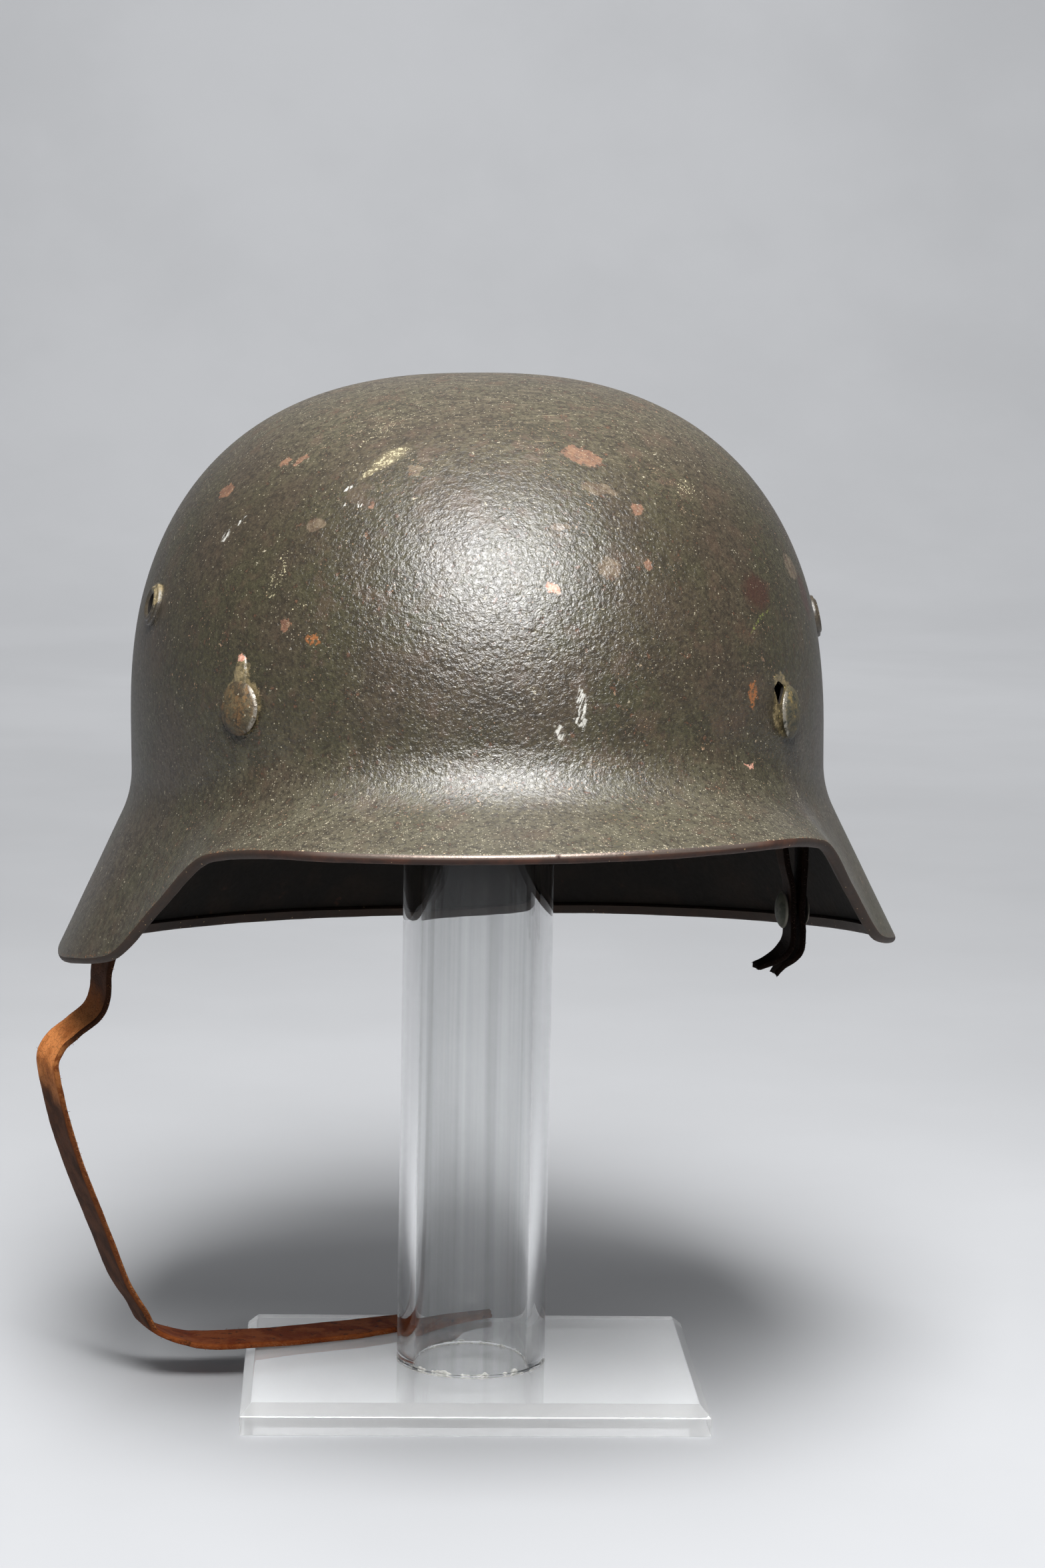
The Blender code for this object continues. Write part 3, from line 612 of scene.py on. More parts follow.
def cut_form():
    """What is cut through the plate: the vents, the rivets' holes and the keyhole."""
    form = bmesh.new()
    bits = [(azimuth, height, VENT_HOLE, 40) for azimuth, height in VENTS]
    bits += [(azimuth, height, SHANK_HOLE, 24) for azimuth, height, _, _ in RIVETS.values()]
    for azimuth, height, radius, steps in bits:
        lathe(drill_profile(radius), on_dome(azimuth, height), steps, form)
    keyhole_form(form)
    return form


def dish_form():
    """The shallow teardrop worn into the plate round the keyhole and the loose rivet."""
    form = bmesh.new()
    azimuth, height, half_width, half_length, thick, lift = DISH
    place = on_dome(azimuth, height) @ Matrix.Translation((0.0, 0.0, lift))
    squeeze = Matrix.Diagonal((half_width, half_length, thick, 1.0))
    return away_from_rim(lathe(pebble_profile(24), place @ squeeze, 48, form))


# Making meshes

def mesh_piece(name, form, materials=()):
    """A finished mesh object from a form in millimetres."""
    form.transform(Matrix.Scale(MM, 4))
    mesh = bpy.data.meshes.new(name)
    form.to_mesh(mesh)
    form.free()
    for surface in materials:
        mesh.materials.append(surface)
    mesh.shade_smooth()
    piece = bpy.data.objects.new(name, mesh)
    bpy.context.scene.collection.objects.link(piece)
    return piece


def closed(form):
    """A closed form with all its faces turned outwards."""
    bmesh.ops.recalc_face_normals(form, faces=form.faces)
    return form


def made_plain(piece):
    """The piece with its modifiers worked into its own mesh."""
    bpy.context.view_layer.update()
    graph = bpy.context.evaluated_depsgraph_get()
    mesh = bpy.data.meshes.new_from_object(piece.evaluated_get(graph))
    old = piece.data
    piece.modifiers.clear()
    piece.data = mesh
    bpy.data.meshes.remove(old)
    mesh.name = piece.name
    return piece


def boolean(piece, other, operation):
    """Joins or cuts a piece with another, whose finish goes onto the faces it leaves."""
    step = piece.modifiers.new(other.name, "BOOLEAN")
    step.operation = operation
    step.object = other
    step.solver = "EXACT"
    step.material_mode = "TRANSFER"


def cleared(pieces):
    """Takes helper objects out of the scene."""
    for piece in pieces:
        bpy.data.objects.remove(piece, do_unlink=True)


def hand_over(piece, node, sharp):
    """Marks edges over this many degrees sharp, rides the piece and hides the node it stands for."""
    piece.data.set_sharp_from_angle(angle=math.radians(sharp))
    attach(piece, BODY)
    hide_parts(node)


def joined_rings(form, first, second):
    """The faces between two closed rings of as many points each."""
    count = len(first)
    return [form.faces.new((first[k], first[(k + 1) % count], second[(k + 1) % count], second[k]))
            for k in range(count)]


def lathe(profile, place, steps, form):
    """Turns a profile of (radius, height) points round a place's own Z axis, poles closed."""
    rings = []
    for radius, height in profile:
        if radius < 1e-6:
            rings.append([form.verts.new(place @ Vector((0.0, 0.0, height)))])
            continue
        ring = []
        for i in range(steps):
            angle = 2.0 * math.pi * i / steps
            spot = Vector((radius * math.cos(angle), radius * math.sin(angle), height))
            ring.append(form.verts.new(place @ spot))
        rings.append(ring)
    for upper, lower in zip(rings, rings[1:]):
        for i in range(steps):
            j = (i + 1) % steps
            corners = []
            for corner in (upper[i % len(upper)], lower[i % len(lower)], lower[j % len(lower)],
                           upper[j % len(upper)]):
                if corner not in corners:
                    corners.append(corner)
            form.faces.new(corners)
    return form


def rounded_corner(centre, radius, start, stop, steps):
    """Profile points round a corner, from one angle to another in degrees."""
    points = []
    for i in range(steps + 1):
        angle = math.radians(start + (stop - start) * i / steps)
        points.append((centre[0] + radius * math.cos(angle), centre[1] + radius * math.sin(angle)))
    return points


def swept(form, path, radius):
    """A round wire along a path, its ends closed."""
    angles = [2.0 * math.pi * k / 16 for k in range(16)]
    rings = []
    side = Vector((0.0, 0.0, 1.0))
    for i, point in enumerate(path):
        along = (path[min(i + 1, len(path) - 1)] - path[max(i - 1, 0)]).normalized()
        side = (side - along * side.dot(along)).normalized()
        across = along.cross(side)
        rings.append([form.verts.new(point + radius * (side * math.cos(angle) + across * math.sin(angle)))
                      for angle in angles])
    for first, second in zip(rings, rings[1:]):
        joined_rings(form, first, second)
    form.faces.new(rings[0][::-1])
    form.faces.new(rings[-1])


def eased_corners(points, reach):
    """A polyline with its inner corners rounded off."""
    steps = 6
    path = [points[0]]
    for before, corner, after in zip(points, points[1:], points[2:]):
        start = corner + (before - corner).normalized() * min(reach, 0.48 * (before - corner).length)
        end = corner + (after - corner).normalized() * min(reach, 0.48 * (after - corner).length)
        for i in range(steps + 1):
            t = i / steps
            path.append((1.0 - t) ** 2 * start + 2.0 * t * (1.0 - t) * corner + t * t * end)
    return path + [points[-1]]


# The hoop

def hoop_form():
    """A thin steel strip round the inside, its edges eased, with a wire bale at each side."""
    form = bmesh.new()
    place = helmet_matrix()
    inset = WALL + BAND_SPACE
    half = 0.5 * BAND_WALL
    middle = 0.5 * (BAND_TOP + BAND_BOTTOM)
    tall = 0.5 * (BAND_TOP - BAND_BOTTOM)
    section = []
    for quarter, (x, z) in enumerate(((half, tall), (-half, tall), (-half, -tall), (half, -tall))):
        centre = (x - math.copysign(BAND_EASE, x), z - math.copysign(BAND_EASE, z))
        section += rounded_corner(centre, BAND_EASE, 90.0 * quarter, 90.0 * (quarter + 1), 3)
    steps = 240
    rings = []
    for i in range(steps):
        azimuth = 360.0 * i / steps
        radius = dome_radius(azimuth, BAND_TOP) - inset - half
        ripple = 0.10 * wave(outward(azimuth, radius, 0.0), 16.0, 4.0)
        rings.append([form.verts.new(place @ outward(azimuth, radius + ripple + x, middle + z))
                      for x, z in section])
    for i, ring in enumerate(rings):
        joined_rings(form, ring, rings[(i + 1) % steps])
    top_out = dome_radius(90.0, BAND_TOP) - inset - half
    for side in (-1.0, 1.0):
        corners = (
            (top_out, BALE_HALF_WIDTH, BALE_TOP),
            (BALE_BAR_OUT + 0.4, BALE_HALF_WIDTH, BALE_BAR_Z + 0.6),
            (BALE_BAR_OUT, BALE_HALF_WIDTH - 0.6, BALE_BAR_Z),
            (BALE_BAR_OUT, 0.6 - BALE_HALF_WIDTH, BALE_BAR_Z),
            (BALE_BAR_OUT + 0.4, -BALE_HALF_WIDTH, BALE_BAR_Z + 0.6),
            (top_out, -BALE_HALF_WIDTH, BALE_TOP),
        )
        points = [place @ Vector((side * out, along - BALE_FORWARD, height))
                  for out, along, height in corners]
        swept(form, eased_corners(points, BALE_BEND), BALE_WIRE)
    return closed(form)


# The straps

def smooth_route(points, spacing):
    """Points every so many millimetres along a smooth curve through a route's own points."""
    route = [Vector(point) for point in points]
    ends = [2.0 * route[0] - route[1]] + route + [2.0 * route[-1] - route[-2]]
    path = []
    for before, start, end, after in zip(ends, ends[1:], ends[2:], ends[3:]):
        pieces = max(1, round((end - start).length / spacing))
        for i in range(pieces):
            t = i / pieces
            path.append(0.5 * (2.0 * start + (end - before) * t
                               + (2.0 * before - 5.0 * start + 4.0 * end - after) * t * t
                               + (3.0 * start - before - 3.0 * end + after) * t ** 3))
    path.append(route[-1])
    return path


def strap_route(side, tail, onward, turns):
    """The strap's middle line over its bale, with how far its width is turned at each point."""
    bar = helmet_matrix() @ Vector((side * BALE_BAR_OUT, -BALE_FORWARD, BALE_BAR_Z))
    loop = []
    for i in range(9):
        angle = math.pi * i / 8
        loop.append(bar + Vector((-math.cos(angle), 0.0, math.sin(angle))) * LOOP_RADIUS)
    if side < 0.0:
        loop = loop[::-1]
    coarse = smooth_route(tail, 4.5) + loop + smooth_route(onward, 4.5)
    shares = np.linspace(0.0, 1.0, len(coarse))
    coarse_turns = np.interp(shares, np.linspace(0.0, 1.0, len(turns)), turns)
    fine = smooth_route(coarse, 0.75)
    coarse_runs = run_lengths(coarse)
    fine_runs = run_lengths(fine) * coarse_runs[-1] / run_lengths(fine)[-1]
    return fine, np.radians(np.interp(fine_runs, coarse_runs, coarse_turns))


def run_lengths(path):
    """How far along a path each of its points is."""
    steps = [(after - before).length for before, after in zip(path, path[1:])]
    return np.concatenate(([0.0], np.cumsum(steps)))


def strap_section():
    """Round a strap: place on its map, place across its width, and side of its thickness."""
    across = np.linspace(-0.93, 0.93, 12)
    corner = ((0.985, 0.8), (1.0, 0.35), (1.0, -0.35), (0.985, -0.8))
    section = [(0.01 + 0.38 * i / 11, x, 1.0) for i, x in enumerate(across)]
    section += [(0.42 + 0.02 * i, x, face) for i, (x, face) in enumerate(corner)]
    section += [(0.51 + 0.38 * i / 11, -x, -1.0) for i, x in enumerate(across)]
    section += [(0.92 + 0.02 * i, -x, -face) for i, (x, face) in enumerate(corner)]
    return section


def strap_stations(route, turns, width, tapers):
    """At each point of a strap: its middle, the ways along and across, its half width and its run.

    A taper says how long an end's narrowing is and what share of the width is left at the end; the
    far edge keeps its line.
    """
    runs = run_lengths(route)
    stations = []
    for i, (point, turn, run) in enumerate(zip(route, turns, runs)):
        along = (route[min(i + 1, len(route) - 1)] - route[max(i - 1, 0)]).normalized()
        across = Vector((math.sin(turn), math.cos(turn), 0.0))
        across = (across - along * across.dot(along)).normalized()
        half = 0.5 * width
        for (length, share), gone in zip(tapers, (run, runs[-1] - run)):
            t = min(gone / length, 1.0)
            half = min(half, 0.5 * width * (share + (1.0 - share) * t * t * (3.0 - 2.0 * t)))
        stations.append((point + across * (0.5 * width - half), along, across, half, run))
    return stations


def strap_form(stations, facing, wall, torn):
    """A worn strip of leather with uneven edges and torn ends, and a map of its own faces.

    The map runs along the strap in tenths of a metre, and round it from 0 to 1: the outer face up
    to 0.4, the far edge to 0.5, the inner face to 0.9 and the near edge to 1.
    """
    runs = [station[-1] for station in stations]
    total = runs[-1]
    form = bmesh.new()
    face_map = form.loops.layers.uv.new("face_map")
    section = strap_section()
    rings = []
    for point, along, across, half, run in stations:
        out = along.cross(across).normalized() * facing
        near_end = max(0.0, 1.0 - min(run, total - run) / 5.0)
        ring = []
        for _, side, face in section:
            lane = math.copysign(40.0, side)
            ragged = 0.14 * wave((run, lane, 0.0), 2.6, 2.0) + 0.28 * wave((run, lane, 0.0), 9.0)
            ragged -= near_end * abs(wave((run, lane, 3.0), 1.4, 5.0))
            thick = 0.5 * wall * (1.0 + 0.10 * wave((run, side * 6.0, 7.0), 7.0))
            cup = 0.26 * wave((run, 0.0, 11.0), 26.0) * side * side
            rough = 0.05 * wave((run, side * 7.0, face * 5.0), 1.6)
            spot = point + across * side * (half + ragged) + out * (face * (thick + rough) + cup)
            rag = near_end * torn * wave((side * 7.5, face * 1.5, 31.0), 1.7, 6.0)
            ring.append(form.verts.new(spot + along * rag * (1.0 if run > 0.5 * total else -1.0)))
        rings.append(ring)
    shares = [place_on_map for place_on_map, _, _ in section] + [1.0 + section[0][0]]
    for i, (first, second) in enumerate(zip(rings, rings[1:])):
        for face, here, after in zip(joined_rings(form, first, second), shares, shares[1:]):
            ends = ((runs[i], here), (runs[i], after), (runs[i + 1], after), (runs[i + 1], here))
            for loop, (run, share) in zip(face.loops, ends):
                loop[face_map].uv = (run / MAP_UNIT, share)
    for ring, run in ((rings[0][::-1], 0.0), (rings[-1], total)):
        cap = form.faces.new(ring)
        for loop in cap.loops:
            loop[face_map].uv = (run / MAP_UNIT, 0.95)
    return closed(form)


def fray_lines(stations, stretches):
    """Lines along a strap's two edges where fibres stand out, with the way that they point."""
    form = bmesh.new()
    out_x, out_y, out_z = (form.verts.layers.float.new("fray_" + axis) for axis in "xyz")
    for start, stop, side in stretches:
        last = None
        for point, _, across, half, run in stations:
            if not start <= run <= stop:
                continue
            here = form.verts.new(point + across * side * (half - 0.25))
            here[out_x], here[out_y], here[out_z] = across * side
            if last is not None:
                form.edges.new((last, here))
            last = here
    return form


# The stand

def base_form():
    """The bevelled plate, its polished edges a little rounded."""
    form = bmesh.new()
    bmesh.ops.create_cube(form, size=1.0, matrix=Matrix.Diagonal((*PLATE_SIZE, 1.0)))
    top = [edge for edge in form.edges if all(vert.co.z > 0.0 for vert in edge.verts)]
    bmesh.ops.bevel(form, geom=top, offset=PLATE_BEVEL, segments=1, affect="EDGES")
    bmesh.ops.bevel(form, geom=form.edges[:], offset=PLATE_EASE, segments=2, profile=0.5,
                    affect="EDGES", clamp_overlap=True)
    lifted = Matrix.Translation((0.0, 0.0, 0.5 * PLATE_SIZE.z))
    form.transform(Matrix.Rotation(PLATE_TURN, 4, "Z") @ lifted)
    return closed(form)


def tube_form():
    """The clear tube with lightly eased ends."""
    ease, foot_ease, below = TUBE_EASE, TUBE_FOOT_EASE, 3.0
    profile = rounded_corner((TUBE_OUTER - ease, TUBE_TOP - ease), ease, 90.0, 0.0, 3)
    profile += [(TUBE_OUTER, TUBE_TOP - below), (TUBE_OUTER, TUBE_FOOT + below)]
    for radius, start in ((TUBE_OUTER - foot_ease, 0.0), (TUBE_INNER + foot_ease, -90.0)):
        profile += rounded_corner((radius, TUBE_FOOT + foot_ease), foot_ease, start, start - 90.0, 3)
    profile += [(TUBE_INNER, TUBE_FOOT + below), (TUBE_INNER, TUBE_TOP - below)]
    profile += rounded_corner((TUBE_INNER + ease, TUBE_TOP - ease), ease, 180.0, 90.0, 3)
    form = lathe(profile + profile[:1], Matrix.Identity(4), 192, bmesh.new())
    bmesh.ops.remove_doubles(form, verts=form.verts, dist=0.0001)
    for radius, thick, seed in CEMENT_BEADS:
        cement_bead(form, radius, thick, seed)
    return closed(form)


def cement_bead(form, radius, thick, seed):
    """A broken bead of dried cement on the plate round the tube's foot, as the form's second material."""
    steps = 420
    angles = [2.0 * math.pi * k / 8 for k in range(8)]
    rings = []
    for i in range(steps):
        turn = 2.0 * math.pi * i / steps
        out = Vector((math.cos(turn), math.sin(turn), 0.0))
        lump = 1.3 * wave(out * radius, 3.4, seed) + 0.9 * wave(out * radius, 1.2, seed + 2.0) + 0.15
        size = 0.03 + thick * min(max(lump, 0.0), 1.0)
        foot = Vector((0.0, 0.0, PLATE_SIZE.z + 0.02 + size))
        rings.append([form.verts.new(foot + out * (radius + size * math.cos(angle))
                                     + Vector((0.0, 0.0, size * math.sin(angle)))) for angle in angles])
    for i, ring in enumerate(rings):
        for face in joined_rings(form, ring, rings[(i + 1) % steps]):
            face.material_index = 1


# Node trees, written as sums of sockets

class Socket:
    """An output socket that can stand in a sum; each operation adds its own Math node."""

    def __init__(self, sheet, socket):
        self.sheet = sheet
        self.socket = socket

    def math(self, operation, *terms):
        """A Math node on this and other terms."""
        return self.sheet.node("ShaderNodeMath", {"operation": operation}, dict(enumerate(terms)))

    def __add__(self, other):
        return self.math("ADD", self, other)

    def __radd__(self, other):
        return self.math("ADD", other, self)

    def __sub__(self, other):
        return self.math("SUBTRACT", self, other)

    def __rsub__(self, other):
        return self.math("SUBTRACT", other, self)

    def __mul__(self, other):
        return self.math("MULTIPLY", self, other)

    def __rmul__(self, other):
        return self.math("MULTIPLY", other, self)

    def __truediv__(self, other):
        return self.math("DIVIDE", self, other)

    def __rtruediv__(self, other):
        return self.math("DIVIDE", other, self)

    def __pow__(self, other):
        return self.math("POWER", self, other)

    def least(self, other):
        """The smaller of this and another."""
        return self.math("MINIMUM", self, other)

    def most(self, other):
        """The larger of this and another."""
        return self.math("MAXIMUM", self, other)


class Sheet:
    """A node tree being drawn."""

    def __init__(self, tree):
        self.tree = tree

    def node(self, kind, settings=None, values=None, output=0):
        """Adds a node: its settings first, then the values or links of its sockets."""
        node = self.tree.nodes.new(kind)
        for name, value in (settings or {}).items():
            setattr(node, name, value)
        for key, value in (values or {}).items():
            socket = node.inputs[key]
            if isinstance(value, Socket):
                self.tree.links.new(value.socket, socket)
            elif socket.type == "RGBA" and len(value) == 3:
                socket.default_value = (*value, 1.0)
            else:
                socket.default_value = value
        return Socket(self, node.outputs[output]) if len(node.outputs) else None

    def vector(self, operation, values, output=0):
        """A Vector Math node."""
        return self.node("ShaderNodeVectorMath", {"operation": operation}, values, output)

    def sides(self, vector):
        """The three numbers of a vector."""
        first = self.node("ShaderNodeSeparateXYZ", {}, {0: vector})
        return first, *(Socket(self, first.socket.node.outputs[i]) for i in (1, 2))


class Finish(Sheet):
    """A procedural material, worked out from the piece's own coordinates in metres."""

    def __init__(self, name):
        self.material = bpy.data.materials.new(name)
        self.material.use_nodes = True
        super().__init__(self.material.node_tree)
        self.tree.nodes.clear()
        self.place = self.node("ShaderNodeTexCoord", {}, {}, "Object")

    def kept(self, name):
        """A number that a Geometry Nodes tree kept on the piece's points."""
        return self.node("ShaderNodeAttribute", {"attribute_name": name}, {}, "Fac")

    def uv(self, name):
        """The three numbers of one of the piece's own maps."""
        return self.sides(self.node("ShaderNodeUVMap", {"uv_map": name}))

    def noise(self, size, detail=2.0, rough=0.5, at=None, output=0, twist=0.0):
        """Smooth noise from 0 to 1 whose swells are about this many millimetres across."""
        values = {"Vector": at or self.place, "Scale": 1.0 / (size * MM), "Detail": detail,
                  "Roughness": rough, "Distortion": twist}
        return self.node("ShaderNodeTexNoise", {}, values, output)

    def cells(self, size, at=None, feature="F1"):
        """Distance within irregular cells about this many millimetres across."""
        values = {"Vector": at or self.place, "Scale": 1.0 / (size * MM)}
        return self.node("ShaderNodeTexVoronoi", {"feature": feature}, values)

    def ragged(self, size, reach, at=None):
        """The coordinates pushed about by noise, so that an outline on them comes out uneven."""
        push = self.noise(size, 3.0, 0.6, at, output=1)
        push = self.vector("SUBTRACT", {0: push, 1: (0.5, 0.5, 0.5)})
        push = self.vector("SCALE", {0: push, "Scale": 2.0 * reach * MM})
        return self.vector("ADD", {0: at or self.place, 1: push})

    def streaks(self, sizes, turn=(0.0, 0.0, 0.0), detail=3.0):
        """Noise drawn out to so many millimetres along each of its own turned axes."""
        values = {"Vector": self.place, "Rotation": [math.radians(angle) for angle in turn],
                  "Scale": [size * MM for size in sizes]}
        drawn = self.node("ShaderNodeMapping", {"vector_type": "TEXTURE"}, values)
        values = {"Vector": drawn, "Scale": 1.0, "Detail": detail, "Roughness": 0.6}
        return self.node("ShaderNodeTexNoise", {}, values)

    def ease(self, value, low, high):
        """0 below low and 1 above high, or the other way round where low is above high."""
        if low > high:
            return 1.0 - self.ease(value, high, low)
        values = {"Value": value, "From Min": low, "From Max": high, "To Min": 0.0, "To Max": 1.0}
        return self.node("ShaderNodeMapRange", {"interpolation_type": "SMOOTHSTEP"}, values)

    def mix(self, share, first, second):
        """One colour laid over another in a share from 0 to 1."""
        settings = {"data_type": "RGBA", "clamp_factor": True}
        return self.node("ShaderNodeMix", settings, {0: share, 6: first, 7: second}, 2)

    def nearest(self, rows, at):
        """How far from the closest of a table's marks, where 1 is on a mark's outline."""
        nearest = None
        for azimuth, height, half_width, half_height, slant in rows:
            place = on_dome(azimuth, height) @ Matrix.Rotation(math.radians(slant), 4, "Z")
            depth = max(half_width, half_height) + 2.0
            values = {"Vector": at, "Location": place.translation * MM, "Rotation": place.to_euler(),
                      "Scale": (half_width * MM, half_height * MM, depth * MM)}
            inside = self.node("ShaderNodeMapping", {"vector_type": "TEXTURE"}, values)
            length = self.vector("LENGTH", {0: inside}, "Value")
            nearest = length if nearest is None else nearest.least(length)
        return nearest

    def specks(self, size, share, at=None):
        """Small specks, some bigger than others, in this share of the cells of a size."""
        cell = self.cells(size, at)
        pick, big, _ = self.sides(Socket(self, cell.socket.node.outputs["Color"]))
        round_speck = self.ease(cell - big * 0.20, 0.22, 0.12)
        return round_speck * pick.math("LESS_THAN", pick, share)

    def bump(self, height):
        """A normal from heights given in millimetres."""
        return self.node("ShaderNodeBump", {}, {"Strength": 1.0, "Distance": MM, "Height": height})

    def close(self, lets_light_through=0.0, **sockets):
        """Ends the material in one shader; each name is a socket's, with _ for a space."""
        values = {name.replace("_", " "): value for name, value in sockets.items()}
        shader = self.node("ShaderNodeBsdfPrincipled", {}, values)
        if lets_light_through:
            shadow = self.node("ShaderNodeLightPath", {}, {}, "Is Shadow Ray")
            open_way = self.node("ShaderNodeBsdfTransparent")
            values = {0: shadow * lets_light_through, 1: shader, 2: open_way}
            shader = self.node("ShaderNodeMixShader", {}, values)
        self.node("ShaderNodeOutputMaterial", {}, {"Surface": shader})
        return self.material


class Pattern(Sheet):
    """A geometry tree with named inputs, to be worked into a plain mesh."""

    def __init__(self, name, inputs):
        super().__init__(bpy.data.node_groups.new(name, "GeometryNodeTree"))
        self.tree.interface.new_socket("Geometry", in_out="OUTPUT", socket_type="NodeSocketGeometry")
        for input_name, kind in {"Geometry": "NodeSocketGeometry", **inputs}.items():
            self.tree.interface.new_socket(input_name, in_out="INPUT", socket_type=kind)
        self.group = self.tree.nodes.new("NodeGroupInput")

    def given(self, name):
        """One of the tree's named inputs."""
        return Socket(self, self.group.outputs[name])

    def joined(self, *parts):
        """Several geometries as one."""
        node = self.tree.nodes.new("GeometryNodeJoinGeometry")
        for part in parts:
            self.tree.links.new(part.socket, node.inputs[0])
        return Socket(self, node.outputs[0])

    def spot(self, *numbers):
        """A vector put together from its numbers."""
        return self.node("ShaderNodeCombineXYZ", {}, dict(enumerate(numbers)))

    def moved(self, part, z):
        """A geometry lifted along its own Z axis."""
        values = {"Geometry": part, "Translation": self.spot(0.0, 0.0, z)}
        return self.node("GeometryNodeTransform", {}, values)

    def keep(self, part, name, value):
        """A geometry with a number kept on its points for its material to read."""
        settings = {"data_type": "FLOAT", "domain": "POINT"}
        values = {"Geometry": part, "Name": name, "Value": value}
        return self.node("GeometryNodeStoreNamedAttribute", settings, values)

    def close(self, geometry):
        """Ends the tree in real geometry with its material set."""
        real = self.node("GeometryNodeRealizeInstances", {}, {"Geometry": geometry})
        values = {"Geometry": real, "Material": self.given("Material")}
        done = self.node("GeometryNodeSetMaterial", {}, values)
        out = self.tree.nodes.new("NodeGroupOutput")
        self.tree.links.new(done.socket, out.inputs[0])
        return self.tree


def grown(name, base, tree, values):
    """The mesh that a geometry tree grows from a base mesh, its inputs set before it first runs."""
    piece = bpy.data.objects.new(name, base)
    bpy.context.scene.collection.objects.link(piece)
    step = piece.modifiers.new("Grow", "NODES")
    step.node_group = tree
    for item in tree.interface.items_tree:
        if item.item_type == "SOCKET" and item.in_out == "INPUT" and item.name in values:
            step[item.identifier] = values[item.name]
    return made_plain(piece)


def turned_ball(pattern, radius, rise, under, powers):
    """Nodes of a flattened ball of revolution: a domed top and a squarer underside."""
    values = {"Size X": 1.0, "Size Y": 1.0, "Vertices X": 49, "Vertices Y": 25}
    grid = pattern.node("GeometryNodeMeshGrid", {}, values)
    x, y, _ = pattern.sides(pattern.node("GeometryNodeInputPosition"))
    turn = (x + 0.5) * (2.0 * math.pi)
    run = (y + 0.5) * math.pi
    share = run.math("SINE", run).most(0.0)
    top = (1.0 - share ** powers[0]).most(0.0) ** powers[1] * rise
    bottom = (1.0 - share ** 4.0).most(0.0) ** 0.5 * under
    upper = run.math("LESS_THAN", run, 0.5 * math.pi)
    height = top * upper - bottom * (1.0 - upper)
    beside = turn.math("COSINE", turn)
    spot = pattern.spot(share * radius * beside, share * radius * turn.math("SINE", turn), height)
    kept = pattern.keep(grid, "from_middle", share + (1.0 - upper))
    kept = pattern.keep(kept, "to_one_side", share * beside)
    placed = pattern.node("GeometryNodeSetPosition", {}, {"Geometry": kept, "Position": spot})
    return pattern.node("GeometryNodeMergeByDistance", {}, {"Geometry": placed, "Distance": 0.02 * MM})


def fastener_tree():
    """A clamped fastener: a domed head, its shank, and two bent legs or a washer behind."""
    sizes = ("Head Radius", "Head Rise", "Head Under", "Head Height", "Shank Radius", "Shank Foot",
             "Washer Radius", "Washer Thickness", "Leg Width", "Leg Reach", "Leg Thickness")
    inputs = {name: "NodeSocketFloat" for name in sizes}
    inputs.update({"Legs": "NodeSocketBool", "Material": "NodeSocketMaterial"})
    pattern = Pattern("clamped_fastener", inputs)
    given = pattern.given
    radius, rise, under = (given("Head " + size) for size in ("Radius", "Rise", "Under"))
    head = turned_ball(pattern, radius, rise, under, (2.3, 0.72))
    head = pattern.moved(head, given("Head Height"))
    length = given("Head Height") - given("Shank Foot")
    values = {"Vertices": 28, "Radius": given("Shank Radius"), "Depth": length}
    shank = pattern.node("GeometryNodeMeshCylinder", {}, values)
    shank = pattern.moved(shank, given("Head Height") - length * 0.5)
    thick = given("Washer Thickness")
    washer = turned_ball(pattern, given("Washer Radius"), thick * 0.5, thick * 0.5, (6.0, 0.5))
    washer = pattern.moved(washer, given("Shank Foot"))
    size = pattern.spot(given("Leg Width"), given("Leg Reach") * 2.0, given("Leg Thickness"))
    values = {"Size": size, "Vertices X": 7, "Vertices Y": 41, "Vertices Z": 3}
    legs = pattern.node("GeometryNodeMeshCube", {}, values)
    x, y, z = pattern.sides(pattern.node("GeometryNodeInputPosition"))
    share = y.math("ABSOLUTE", y) / given("Leg Reach")
    narrow = (1.0 - share ** 10.0).most(0.0) ** 0.5 * (1.0 - share * 0.22)
    bowed = z - share ** 2.0 * given("Leg Thickness") * 0.5
    values = {"Geometry": legs, "Position": pattern.spot(x * narrow, y, bowed)}
    legs = pattern.node("GeometryNodeSetPosition", {}, values)
    legs = pattern.moved(legs, given("Shank Foot"))
    behind = pattern.node("GeometryNodeSwitch", {"input_type": "GEOMETRY"},
                          {"Switch": given("Legs"), "False": washer, "True": legs})
    return pattern.close(pattern.joined(head, shank, behind))


